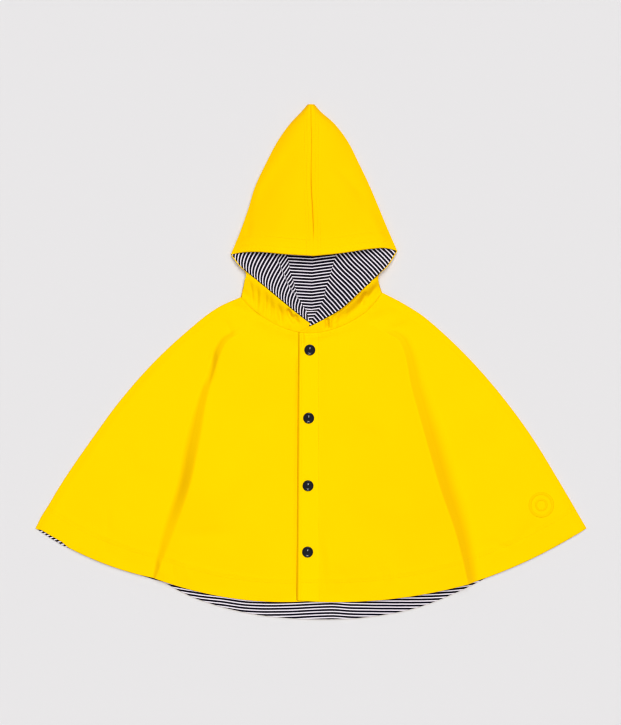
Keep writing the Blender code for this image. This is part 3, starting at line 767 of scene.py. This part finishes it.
def patch_mesh(name, shape, columns, rows, stripes=hem_stripes, painted_light_and_shade=None):
    """A grid whose points come from a function of two shares, with its stripe count in a UV map."""
    grid = bmesh.new()
    last_column, last_row = len(columns) - 1, len(rows) - 1
    bmesh.ops.create_grid(grid, x_segments=last_column, y_segments=last_row, size=1.0)
    mesh = bpy.data.meshes.new(name)
    grid.to_mesh(mesh)
    grid.free()
    flat = np.empty(len(mesh.vertices) * 3, np.float32)
    mesh.vertices.foreach_get("co", flat)
    flat = flat.reshape(-1, 3)
    across = columns[np.rint((flat[:, 0] + 1) / 2 * last_column).astype(int)]
    down = rows[np.rint((flat[:, 1] + 1) / 2 * last_row).astype(int)]
    x, y, z = shape(across, down)
    points = np.stack(np.broadcast_arrays(x, y, z), 1) * MM
    mesh.vertices.foreach_set("co", points.astype(np.float32).ravel())
    corners = np.empty(len(mesh.loops), np.int32)
    mesh.loops.foreach_get("vertex_index", corners)
    chart = np.stack([stripes(x, y), x - y], 1)[corners]
    mesh.uv_layers.new(name="stripes").uv.foreach_set("vector", chart.astype(np.float32).ravel())
    # Each point's share of painted light and shade, when it is given
    if painted_light_and_shade:
        share = mesh.attributes.new("painted_light_and_shade", "FLOAT", "POINT")
        share.data.foreach_set("value", painted_light_and_shade(x, y).astype(np.float32))
    return mesh


def pinched(point):
    """How much the hood's cloth is pinched at each corner of its opening, from 0 to 1."""
    corner = Vector(PINCH_CORNERS["left" if point.x > 0 else "right"])
    return float(fade(((point.xy / MM - corner).length - PINCH_REACH) / PINCH_FADE))


def sew(name, patches, wall, *finishes, pinch=None):
    """One cut piece of cloth: its grids sewn together and given a wall with soft edges."""
    sheet = bmesh.new()
    for patch in patches:
        part = patch_mesh(name, *patch)
        sheet.from_mesh(part)
        bpy.data.meshes.remove(part)
    bmesh.ops.remove_doubles(sheet, verts=sheet.verts, dist=0.002 * MM)
    bmesh.ops.recalc_face_normals(sheet, faces=sheet.faces)
    highest = max(sheet.faces, key=lambda face: face.calc_center_median().z)
    if highest.normal.z < 0:
        bmesh.ops.reverse_faces(sheet, faces=sheet.faces)
    mesh = bpy.data.meshes.new(name)
    sheet.to_mesh(mesh)
    sheet.free()
    for finish in finishes:
        mesh.materials.append(material_named(finish))
    piece = add_object(name, mesh)
    solidify = configure(piece.modifiers.new("cloth wall", "SOLIDIFY"), thickness=wall * MM, offset=-1.0,
                         material_offset=len(finishes) - 1)
    if pinch:
        corners = piece.vertex_groups.new(name="pinched")
        for vertex in mesh.vertices:
            if pinch(vertex.co) > 0:
                corners.add([vertex.index], pinch(vertex.co), "REPLACE")
        configure(solidify, vertex_group=corners.name, invert_vertex_group=True,
                  thickness_vertex_group=PINCHED_WALL)
    configure(piece.modifiers.new("soft edges", "BEVEL"), width=0.35 * MM, segments=2,
              limit_method="ANGLE", angle_limit=math.radians(50), harden_normals=True)
    mesh.shade_smooth()
    return piece


def dress(piece, slot, *nodes):
    """Fixes a piece to the cape and lets it stand for its CAD nodes."""
    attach(piece, "root")
    if nodes:
        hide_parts(*nodes)
    return piece


# ---------------------------------------------------------------- shader nodes

def join(tree, socket, value):
    """Links a socket to another node's output, or gives it a plain value."""
    if isinstance(value, bpy.types.NodeSocket):
        tree.links.new(value, socket)
    else:
        socket.default_value = value


def feed(tree, sockets, values):
    """Joins sockets by name; an underscore stands for a space."""
    for name, value in values.items():
        join(tree, sockets[name.replace("_", " ")], value)


def add(tree, kind, settings=None, **values):
    """A shader node with its settings and its inputs."""
    made = tree.nodes.new("ShaderNode" + kind)
    made.location = (len(tree.nodes) * 190 - 3800, len(tree.nodes) % 3 * 260)
    feed(tree, configure(made, **(settings or {})).inputs, values)
    return made


def maths(tree, operation, *values):
    made = add(tree, "Math", {"operation": operation})
    for socket, value in zip(made.inputs, values):
        join(tree, socket, value)
    return made.outputs["Value"]


def spread(tree, value, settings=None, **ends):
    """Maps a value from one range to another."""
    return add(tree, "MapRange", settings, Value=value, **ends).outputs["Result"]


def blend(tree, mask, first, second, clamp=True):
    """A colour that moves between two tones."""
    settings = {"data_type": "RGBA", "clamp_factor": clamp}
    return add(tree, "Mix", settings, Factor=mask, A=first, B=second).outputs["Result"]


def new_group(name, inputs, outputs):
    """An empty node group, with its input sockets and its output sockets."""
    group = bpy.data.node_groups.new(name, "ShaderNodeTree")
    for label, value in inputs.items():
        kind = "NodeSocketVector" if value is None else "NodeSocketFloat"
        socket = group.interface.new_socket(label, in_out="INPUT", socket_type=kind)
        if value is not None:
            socket.default_value = value
    for label in outputs:
        group.interface.new_socket(label, in_out="OUTPUT", socket_type="NodeSocketFloat")
    start, end = group.nodes.new("NodeGroupInput"), group.nodes.new("NodeGroupOutput")
    start.location, end.location = (-4200, 0), (0, 0)
    return group, start.outputs, end.inputs


def grain_group(name):
    """Fine surface grain over a broad, faint mottling: a height and a tint mask."""
    inputs = {"Vector": None, "Fine Scale": 900.0, "Broad Scale": 24.0, "Broad Share": 0.3}
    group, given, wanted = new_group(name, inputs, ("Height", "Mottle"))
    place = given["Vector"]
    fine = add(group, "TexNoise", Vector=place, Scale=given["Fine Scale"], Detail=3.0, Roughness=0.6)
    broad = add(group, "TexNoise", Vector=place, Scale=given["Broad Scale"], Detail=4.0, Roughness=0.55)
    fine, broad = fine.outputs["Fac"], broad.outputs["Fac"]
    both = add(group, "Mix", {"data_type": "FLOAT"}, Factor=given["Broad Share"], A=fine, B=broad)
    feed(group, wanted, {"Height": both.outputs["Result"],
                         "Mottle": spread(group, broad, From_Min=0.35, From_Max=0.65)})


def knit_group(name):
    """Rows of small knitted loops from a pair of coordinates counted in stitches."""
    group, given, wanted = new_group(name, {"Course": 0.0, "Wale": 0.0}, ("Height",))
    across = maths(group, "COSINE", maths(group, "MULTIPLY", given["Wale"], TURN))
    lean = maths(group, "MULTIPLY", maths(group, "ABSOLUTE", across), 0.35)
    course = maths(group, "MULTIPLY", maths(group, "ADD", given["Course"], lean), TURN)
    both = maths(group, "ADD", maths(group, "MULTIPLY", maths(group, "COSINE", course), 0.5), across)
    join(group, wanted["Height"], maths(group, "ADD", maths(group, "MULTIPLY", both, 0.33), 0.5))


GROUPS = {"surface_grain": grain_group, "knit_loops": knit_group}


def group_outputs(tree, name, **values):
    """A node of that group, which is built the first time it is asked for."""
    if name not in bpy.data.node_groups:
        GROUPS[name](name)
    return add(tree, "Group", {"node_tree": bpy.data.node_groups[name]}, **values).outputs


# ---------------------------------------------------------------- materials

def toned(colour, depth=1.0):
    return (*(channel * depth for channel in colour), 1.0)


def new_tree(name, **grain):
    """A new material's nodes, with its surface grain."""
    material = bpy.data.materials.new(name)
    material.use_nodes = True
    tree = material.node_tree
    place = add(tree, "TexCoord").outputs["Object"]
    return tree, group_outputs(tree, "surface_grain", Vector=place, **grain)


def surface(tree, colour, mask, low, high, bump=None, **values):
    """The surface: its colour, its roughness from low to high along a mask, its relief and the rest."""
    if bump:
        height, distance, strength = bump
        relief = add(tree, "Bump", Height=height, Distance=distance * MM, Strength=strength)
        values["Normal"] = relief.outputs["Normal"]
    roughness = spread(tree, mask, To_Min=low, To_Max=high)
    shader = tree.nodes["Principled BSDF"]
    feed(tree, shader.inputs, {"Base Color": colour, "Roughness": roughness, **values})


def coating(name, tone=1.0):
    """Matt polyurethane-coated jersey: an even colour, with painted shade that deepens it where the cloth
    turns away from view, and painted light and shade from each point's painted_light_and_shade share.
    """
    tree, grain = new_tree(name, Fine_Scale=1100.0, Broad_Scale=26.0, Broad_Share=0.25)
    colour = toned(looks().cloth_colour, tone)
    even = blend(tree, grain["Mottle"], toned(colour[:3], 0.992), colour)
    # Painted light and shade from a per-point share: the placket is painted brighter, the crown darker
    painted_light_and_shade = add(tree, "Attribute", {"attribute_name": "painted_light_and_shade"}).outputs["Fac"]
    light_and_shade_painted = blend(tree, painted_light_and_shade, even, (colour[0], colour[1] * 1.04, 0.0, 1.0), clamp=False)
    # Painted shade: the colour moves towards a darker tone where the cloth's surface turns away from view, as
    # shade on folds, slopes and edges
    facing = add(tree, "LayerWeight", Blend=0.5).outputs["Facing"]
    turned = spread(tree, facing, From_Max=0.3, To_Max=0.5)
    deep = (colour[0] * looks().painted_shade_red, colour[1] * looks().painted_shade_green, 0.0, 1.0)
    surface(tree, blend(tree, turned, light_and_shade_painted, deep), grain["Mottle"], 0.46, 0.54,
            (grain["Height"], 0.06, 0.5), Specular_IOR_Level=0.3, Specular_Tint=(1.0, 0.7, 0.0, 1.0))


def striped_knit(name):
    """Cotton jersey knitted in narrow stripes, from the piece's own stripe count."""
    tree, grain = new_tree(name, Fine_Scale=1500.0)
    chart = add(tree, "UVMap", {"uv_map": "stripes"}).outputs["UV"]
    counts = add(tree, "SeparateXYZ", Vector=chart).outputs
    share = maths(tree, "FRACT", counts["X"])
    nearest = maths(tree, "MINIMUM", maths(tree, "ABSOLUTE", maths(tree, "SUBTRACT", share, 0.25)),
                    maths(tree, "ABSOLUTE", maths(tree, "SUBTRACT", share, 1.25)))
    half = looks().dark_share / 2
    dark = spread(tree, nearest, {"interpolation_type": "SMOOTHSTEP"},
                  From_Min=half - 0.02, From_Max=half + 0.02, To_Min=1.0, To_Max=0.0)
    loops = group_outputs(tree, "knit_loops", Course=maths(tree, "MULTIPLY", counts["X"], looks().courses),
                          Wale=maths(tree, "MULTIPLY", counts["Y"], 1.0 / looks().wale_width))["Height"]
    # Painted shade and light of the knit: pale stripes are painted darker down in the loops' hollows, dark
    # stripes lighter on the loops' tops
    pale = blend(tree, loops, toned(looks().pale_colour, 0.93), toned(looks().pale_colour))
    deep = blend(tree, loops, toned(looks().dark_colour), toned(looks().dark_colour, 1.6))
    surface(tree, blend(tree, dark, pale, deep), grain["Height"], 0.82, 0.94,
            (loops, 0.12, 0.6), Specular_IOR_Level=0.2, Sheen_Weight=0.08)


def navy_enamel(name):
    """Glossy dark enamel on a pressed metal cap."""
    tree, grain = new_tree(name, Fine_Scale=1600.0, Broad_Scale=260.0, Broad_Share=0.5)
    colour = blend(tree, grain["Mottle"], toned(looks().snap_colour, 0.7), toned(looks().snap_colour, 1.4))
    surface(tree, colour, grain["Mottle"], 0.16, 0.22, (grain["Height"], 0.02, 0.3),
            Specular_IOR_Level=0.5, Coat_Weight=0.7, Coat_Roughness=0.14)


def sewing_thread(name):
    """Polyester sewing thread, in the cloth's colour."""
    tree, grain = new_tree(name, Fine_Scale=2600.0, Broad_Scale=400.0, Broad_Share=0.5)
    colour = blend(tree, grain["Mottle"], toned(looks().cloth_colour, 0.9), toned(looks().cloth_colour))
    surface(tree, colour, grain["Height"], 0.4, 0.55, (grain["Height"], 0.05, 0.6),
            Specular_IOR_Level=0.4, Specular_Tint=(1.0, 0.75, 0.1, 1.0))


def studio_paper(name):
    """Pale seamless paper."""
    tree, grain = new_tree(name, Fine_Scale=700.0, Broad_Scale=3.0, Broad_Share=0.3)
    colour = blend(tree, grain["Mottle"], toned(looks().floor_colour, 0.998), toned(looks().floor_colour))
    surface(tree, colour, grain["Height"], 0.85, 0.95, Specular_IOR_Level=0.0)


# The badge's coating is the same cloth, painted a little darker as shade on its pressed rings
FINISHES = {"matt_coating": coating, "pressed_coating": partial(coating, tone=0.93),
            "striped_knit": striped_knit, "navy_enamel": navy_enamel,
            "sewing_thread": sewing_thread, "studio_paper": studio_paper}


def material_named(name):
    """The finish of that name, built the first time it is asked for."""
    if name not in bpy.data.materials:
        FINISHES[name](name)
    return bpy.data.materials[name]


# ---------------------------------------------------------------- stitches

def along_line(points, pitch):
    """Places every pitch along a line of points, with the line's direction at each."""
    steps = np.linalg.norm(np.diff(points, axis=0), axis=1)
    reach = np.concatenate([[0.0], np.cumsum(steps)])
    wanted = np.arange(pitch / 2, reach[-1], pitch)
    places, ahead, behind = (np.stack([np.interp(wanted + shift, reach, axis) for axis in points.T], 1)
                             for shift in (0.0, pitch / 4, -pitch / 4))
    way = ahead - behind
    return places, way / np.linalg.norm(way, axis=1)[:, None]


def stitch_template():
    """One stitch of unit length: a slim, blunt-ended bead."""
    bead = bmesh.new()
    bmesh.ops.create_uvsphere(bead, u_segments=6, v_segments=5, radius=0.5)
    for vertex in bead.verts:
        vertex.co.z = math.copysign(abs(vertex.co.z * 2) ** 0.7 / 2, vertex.co.z)
    points = np.array([vertex.co[:] for vertex in bead.verts])
    faces = [[vertex.index for vertex in face.verts] for face in bead.faces]
    bead.free()
    return points, faces


def stitch_piece(name, lines):
    """All the stitches of a piece, joined into one mesh."""
    sizes = looks()
    template, faces = stitch_template()
    points, polygons = [], []
    for line in lines:
        for place, way in zip(*along_line(line, sizes.stitch_pitch)):
            side = np.cross((0.0, 0.0, 1.0), way)
            side = side / np.linalg.norm(side)
            up = np.cross(way, side)
            axes = [side * sizes.thread_width, up * sizes.thread_width, way * sizes.stitch_length]
            base = len(points) * len(template)
            points.append(template @ np.stack(axes) + place + up * STITCH_RISE)
            polygons.extend([corner + base for corner in face] for face in faces)
    return add_mesh(name, "sewing_thread", (np.concatenate(points) * MM).tolist(), faces=polygons)


def sewn_line(shape, side, across, share):
    """Points along a row of stitches on the front or the crown."""
    return np.stack(shape(side, *np.broadcast_arrays(across, share)), 1)


# ---------------------------------------------------------------- settings and operators

def tint(name, description, default):
    return FloatVectorProperty(name=name, description=description, default=default,
                               subtype="COLOR", size=3, min=0.0, max=1.0)


def factor(name, description, default, low=0.0, high=1.0):
    return FloatProperty(name=name, description=description, default=default,
                         subtype="FACTOR", min=low, max=high)


def amount(name, description, default, low=0.0, high=10.0):
    return FloatProperty(name=name, description=description, default=default, min=low, max=high)


def metres(name, description, default, low, high):
    return FloatProperty(name=name, description=description, default=default,
                         subtype="DISTANCE", unit="LENGTH", min=low, max=high)


class CapeLooks(bpy.types.PropertyGroup):
    """Colours, cloth and thread sizes of the cape."""

    cloth_colour: tint("Coated Cloth", "Colour of the coated outer cloth", (0.965, 0.614, 0.0))
    pale_colour: tint("Pale Stripe", "Colour of the lining's pale stripes", (0.77, 0.712, 0.78))
    dark_colour: tint("Dark Stripe", "Colour of the lining's dark stripes", (0.004, 0.003, 0.008))
    # Painted shade: the red and green that the coated cloth keeps where its surface turns right away
    painted_shade_red: factor("Turned Red", "Red left where the cloth turns right away", 0.8)
    painted_shade_green: factor("Turned Green", "Green left where the cloth turns right away", 0.58)
    snap_colour: tint("Snap Enamel", "Colour of the enamel on the snap caps", (0.003, 0.003, 0.008))
    floor_colour: tint("Studio Paper", "Colour of the surface that the cape lies on", (0.69, 0.678, 0.684))
    dark_share: factor("Dark Share", "Share of each stripe repeat that is dark", 0.62, 0.1, 0.9)
    courses: IntProperty(
        name="Courses", description="Knitted rows in one stripe repeat", min=2, max=12, default=6)
    wale_width: amount("Wale Width", "Width of one column of loops, in millimetres", 0.75, 0.2, 3.0)
    loft: amount("Loft", "How high the fronts lie loose over the lining, in millimetres", 1.2, 0.0, 5.0)
    fold_scale: factor("Fold Height", "Height of the two long soft folds", 1.0, 0.0, 2.0)
    crease_scale: factor("Crease Depth", "Depth of the small creases", 1.0, 0.0, 2.0)
    stitch_pitch: amount("Stitch Pitch", "Distance between two stitches, in millimetres", 2.9, 1.0, 8.0)
    stitch_length: amount("Stitch Length", "Thread that shows in a stitch, in millimetres", 2.3, 0.5, 6.0)
    thread_width: amount("Thread Width", "Thickness of the thread, in millimetres", 0.42, 0.1, 1.5)
    facets: IntProperty(
        name="Turned Steps", description="Steps round each snap cap", min=16, max=256, default=96)


class CapeStudio(bpy.types.PropertyGroup):
    """Camera and light of the studio."""

    camera_height: metres("Camera Height", "Height of the camera above the table", 2.5, 0.5, 10.0)
    framed_length: metres("Framed Length", "Length that the picture's height takes in", 0.812, 0.2, 5.0)
    key_light: amount("Key Light", "Strength of the broad light above the hood", 2.54)
    fill_light: amount("Fill Light", "Strength of the broad light below the hem", 0.26)
    spark_light: amount("Spark Light", "Strength of the small light that glints on the snaps", 0.5)
    glint_light: amount("Glint Light", "Strength of the reflection that the enamel picks up", 0.9)
    room_light: amount("Room Light", "Strength of the even light all round", 0.19)


class CAPE_OT_fronts(bpy.types.Operator):
    """Lay both coated fronts, with their folds, facings and hems"""

    bl_idname = "cape.fronts"
    bl_label = "Fronts"

    EDGE = (0.3, 0.6, 0.9, 1.2, 1.6)
    TURNED_EDGE = (0.35, 0.7, 1.1, 1.5, 2.0, 2.5, 3.0, 3.5, 4.0, 4.6, 5.2, 5.8, 6.5, 7.3, 8.2)

    def execute(self, context):
        inner = stations(90, start=self.TURNED_EDGE, length=150.0, power_end=1.35)
        wing = stations(76, end=(0.3, 0.6, 0.9, 1.3, 2.2), length=130.0, power=1.3)
        across = np.concatenate([inner, 1 + wing[1:]])
        rows = stations(140, start=self.EDGE, end=self.EDGE, length=FRONT_LENGTH)
        for side, area in (("left", 0.0770), ("right", 0.0745)):
            painted_light_and_shade = placket_painted_light if side == "left" else None
            patch = partial(front_point, side), across, rows, hem_stripes, painted_light_and_shade
            piece = sew("front_" + side + "_cloth", [patch], FRONT_WALL, "matt_coating", "striped_knit")
            dress(piece, "coated_cloth", "front_" + side)
        return {"FINISHED"}


class CAPE_OT_back(bpy.types.Operator):
    """Lay the coated back and its striped lining"""

    bl_idname = "cape.back"
    bl_label = "Back and Lining"

    EDGE = (0.4, 0.9, 1.6)

    def execute(self, context):
        grid = (stations(150, start=self.EDGE, end=self.EDGE, length=500.0),
                stations(90, start=self.EDGE, end=self.EDGE, length=320.0))
        outer = partial(back_point, BACK_TOP, 0.0, 0.0, 0.3)
        inner = partial(back_point, LINING_TOP, LINING_SIDE_INSET, LINING_HEM_INSET, -0.1)
        back = sew("back_cloth", [(outer, *grid)], OUTER_WALL, "matt_coating")
        dress(back, "coated_cloth", "back")
        lining = sew("back_lining_cloth", [(inner, *grid)], LINING_WALL, "striped_knit")
        dress(lining, "striped_jersey", "back_lining")
        return {"FINISHED"}


class CAPE_OT_hood(bpy.types.Operator):
    """Lay the two coated halves of the hood"""

    bl_idname = "cape.hood"
    bl_label = "Hood"

    def execute(self, context):
        crown = stations(44, start=(0.3, 0.6, 0.9, 1.2, 1.7, 2.4), length=60.0)
        under = np.concatenate([np.linspace(0, UNDER_CURL, 7), np.linspace(UNDER_CURL, 1, 13)[1:]])
        cone = stations(96, start=(0.4, 0.8, 1.3, 2.0), end=(0.6, 1.4), length=165.0)
        strip = stations(72, start=(0.5, 1.0, 1.6), length=50.0)
        neck = stations(84, end=(0.3, 0.6, 0.9, 1.2, 1.6), length=STRIP_LENGTH)
        parts = ((crown_point, crown, cone), (cone_under, under, cone),
                 (strip_point, strip, neck), (neck_under, under, neck))
        for side, area in (("left", 0.0259), ("right", 0.0254)):
            patches = [(partial(shape, side), *grid, hem_stripes, crown_painted_shade) for shape, *grid in parts]
            piece = sew("hood_" + side + "_cloth", patches, OUTER_WALL, "matt_coating", pinch=pinched)
            dress(piece, "coated_cloth", "hood_" + side)
        return {"FINISHED"}


class CAPE_OT_hood_lining(bpy.types.Operator):
    """Lay the striped lining of the hood, turned out over the face edge"""

    bl_idname = "cape.hood_lining"
    bl_label = "Hood Lining"

    def execute(self, context):
        crown, flap, middle, neck = (stations(count) for count in (24, 44, 18, 90))
        cone = stations(60) * LINING_PEAK
        parts = ((lining_top, crown, cone, middle_stripes), (cone_flap, flap, cone, flap_stripes),
                 (cone_middle, middle, cone, middle_stripes), (neck_flap, flap, neck, flap_stripes),
                 (neck_middle, middle, neck, middle_stripes))
        for side, area in (("left", 0.0211), ("right", 0.0196)):
            patches = [(partial(shape, side), across, down, partial(stripes, side))
                       for shape, across, down, stripes in parts]
            piece = sew("hood_lining_" + side + "_cloth", patches, LINING_WALL, "striped_knit")
            dress(piece, "striped_jersey", "hood_lining_" + side)
        return {"FINISHED"}


class CAPE_OT_snaps(bpy.types.Operator):
    """Turn the four enamelled snap caps"""

    bl_idname = "cape.snaps"
    bl_label = "Snap Caps"

    PROFILE = (
        (0.0, 1.8), (0.8, 1.75), (1.6, 1.53), (2.2, 1.22), (2.6, 0.96), (3.0, 0.86), (3.6, 1.02),
        (4.2, 1.29), (4.7, 1.7), (5.1, 2.22), (5.4, 2.4), (5.7, 2.25), (6.0, 1.7), (6.22, 1.1),
        (6.3, 0.7), (6.22, 0.25), (6.0, 0.0),
    )

    def execute(self, context):
        corners = [(radius * MM, 0.0, height * MM) for radius, height in self.PROFILE]
        edges = [(i, i + 1) for i in range(len(corners) - 1)]
        for number in range(1, 5):
            low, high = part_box("snap_" + str(number))
            cap = add_mesh("snap_cap_" + str(number), "navy_enamel", corners, edges)
            configure(cap.modifiers.new("turned", "SCREW"), steps=looks().facets, render_steps=looks().facets,
                      use_merge_vertices=True, merge_threshold=0.01 * MM, use_smooth_shade=True)
            cap.location = ((low.x + high.x) / 2, (low.y + high.y) / 2, low.z)
            dress(cap, "snap_enamel", "snap_" + str(number))
        return {"FINISHED"}


class CAPE_OT_badge(bpy.types.Operator):
    """Press two plain rings into the left wing"""

    bl_idname = "cape.badge"
    bl_label = "Plain Badge"

    CENTRE = (257.5, -159.8)
    RINGS = ((14.4, 11.0, 0.34), (7.2, 4.6, 0.28))
    SLOPE = 0.8
    SUNK = -0.1

    def execute(self, context):
        cloth = BVHTree.FromObject(bpy.data.objects["front_left_cloth"], context.evaluated_depsgraph_get())
        steps, half = looks().facets, self.SLOPE / 2
        points, faces = [], []
        for outer, inner, height in self.RINGS:
            profile = ((outer, self.SUNK), (outer - half, height * 0.7), (outer - self.SLOPE, height),
                       ((outer + inner) / 2, height), (inner + self.SLOPE, height),
                       (inner + half, height * 0.7), (inner, self.SUNK))
            base = len(points)
            for step in range(steps):
                turn = TURN * step / steps
                for radius, lift in profile:
                    x = (self.CENTRE[0] + radius * math.cos(turn)) * MM
                    y = (self.CENTRE[1] + radius * math.sin(turn)) * MM
                    place = cloth.ray_cast(Vector((x, y, 0.1)), Vector((0.0, 0.0, -1.0)))[0]
                    points.append((x, y, place.z + lift * MM))
                for i in range(len(profile) - 1):
                    here, ahead = base + step * len(profile) + i, base + (step + 1) % steps * len(profile) + i
                    faces.append((here, here + 1, ahead + 1, ahead))
        # Painted shade: the rings' coating is painted a little darker than the cloth around them
        badge = add_mesh("badge_left", "pressed_coating", points, faces=faces)
        if badge.data.polygons[3].normal.z < 0:
            badge.data.flip_normals()
        dress(badge, "coated_cloth")
        return {"FINISHED"}


class CAPE_OT_stitches(bpy.types.Operator):
    """Sew the rows of topstitching on the fronts and the hood"""

    bl_idname = "cape.stitches"
    bl_label = "Topstitching"

    def execute(self, context):
        run = np.linspace(0.0, 1.0, 400)
        for side in SIDES:
            on_front, on_crown = partial(sewn_line, front_point, side), partial(sewn_line, crown_point, side)
            lines = [on_front(run * 1.985 + 0.006, 1 - row / FRONT_LENGTH) for row in HEM_ROWS]
            lines.append(on_front(run * 1.97 + 0.01, NECK_ROW / FRONT_LENGTH))
            if side == "left":
                across = (FACING_X - front_edge(side, run)[0]) / spans(side, run)[0]
                lines.append(on_front(across, run * 0.99 + 0.004))
            dress(stitch_piece("topstitch_front_" + side, lines), "coated_cloth")
            share, across = run * 0.93 + 0.006, run * 0.9 + 0.03
            lines = [on_crown(row / hood_width(side, share), share) for row in CROWN_ROWS]
            edge_y = read(FACE_TOP, side + "_y", across)
            lines += [on_crown(across, row / (PEAK_Y - edge_y)) for row in FACE_ROWS]
            dress(stitch_piece("topstitch_hood_" + side, lines), "coated_cloth")
        return {"FINISHED"}


class CAPE_OT_studio(bpy.types.Operator):
    """Set the pale table, the soft lights and the camera straight above the cape"""

    bl_idname = "cape.studio"
    bl_label = "Studio"

    CENTRE = (-0.00045, -0.00067)
    SENSOR = 24.0
    FLOOR_SIZE = 40.0

    def execute(self, context):
        scene, studio = context.scene, context.scene.cape_studio
        bpy.ops.mesh.primitive_grid_add(x_subdivisions=8, y_subdivisions=8, size=self.FLOOR_SIZE)
        floor = bpy.context.object
        floor.name = "floor"
        floor.data.materials.append(material_named("studio_paper"))
        self.sun("key_light", (0.08, 0.18, 1.0), studio.key_light, 40.0).visible_glossy = False
        self.sun("fill_light", (-0.1, -0.6, 0.9), studio.fill_light, 90.0).visible_glossy = False
        self.sun("spark_light", (0.1, 0.7, 1.0), studio.spark_light, 20.0)
        self.sun("glint_light", (0.05, 0.75, 1.0), studio.glint_light, 28.0).visible_diffuse = False
        scene.world = bpy.data.worlds.new("room")
        scene.world.use_nodes = True
        sky = scene.world.node_tree.nodes["Background"]
        sky.inputs["Color"].default_value = (1.0, 1.0, 1.0, 1.0)
        sky.inputs["Strength"].default_value = studio.room_light
        lens = configure(bpy.data.cameras.new("camera"), sensor_fit="VERTICAL", sensor_height=self.SENSOR,
                         lens=self.SENSOR * studio.camera_height / studio.framed_length)
        scene.camera = add_object("camera", lens)
        scene.camera.location = (*self.CENTRE, studio.camera_height)
        scene.view_settings.view_transform = "Standard"
        scene.cycles.filter_width = 1.1
        return {"FINISHED"}

    @staticmethod
    def sun(name, towards, strength, angle):
        light = configure(bpy.data.lights.new(name, "SUN"), energy=strength, angle=math.radians(angle))
        lamp = add_object(name, light)
        lamp.rotation_euler = Vector(towards).to_track_quat("Z", "Y").to_euler()
        return lamp


OPERATORS = (CAPE_OT_back, CAPE_OT_fronts, CAPE_OT_hood, CAPE_OT_hood_lining, CAPE_OT_snaps,
             CAPE_OT_badge, CAPE_OT_stitches, CAPE_OT_studio)


class CAPE_PT_dresser(bpy.types.Panel):
    """Lists the cape's pieces and their settings"""

    bl_idname = "CAPE_PT_dresser"
    bl_label = "Baby Rain Cape"
    bl_space_type = "VIEW_3D"
    bl_region_type = "UI"
    bl_category = "Rain Cape"

    def draw(self, context):
        column = self.layout.column()
        for operator in OPERATORS:
            column.operator(operator.bl_idname)
        for settings in (context.scene.cape_looks, context.scene.cape_studio):
            for name in settings.__annotations__:
                column.prop(settings, name)


CLASSES = (CapeLooks, CapeStudio, *OPERATORS, CAPE_PT_dresser)


def register():
    for item in CLASSES:
        bpy.utils.register_class(item)
    bpy.types.Scene.cape_looks = PointerProperty(type=CapeLooks)
    bpy.types.Scene.cape_studio = PointerProperty(type=CapeStudio)


def unregister():
    del bpy.types.Scene.cape_studio
    del bpy.types.Scene.cape_looks
    for item in reversed(CLASSES):
        bpy.utils.unregister_class(item)


def main():
    register()
    bpy.ops.cape.back()
    bpy.ops.cape.fronts()
    bpy.ops.cape.hood()
    bpy.ops.cape.hood_lining()
    bpy.ops.cape.snaps()
    bpy.ops.cape.badge()
    bpy.ops.cape.stitches()
    bpy.ops.cape.studio()
    bpy.context.view_layer.update()


if __name__ == "__main__":
    main()
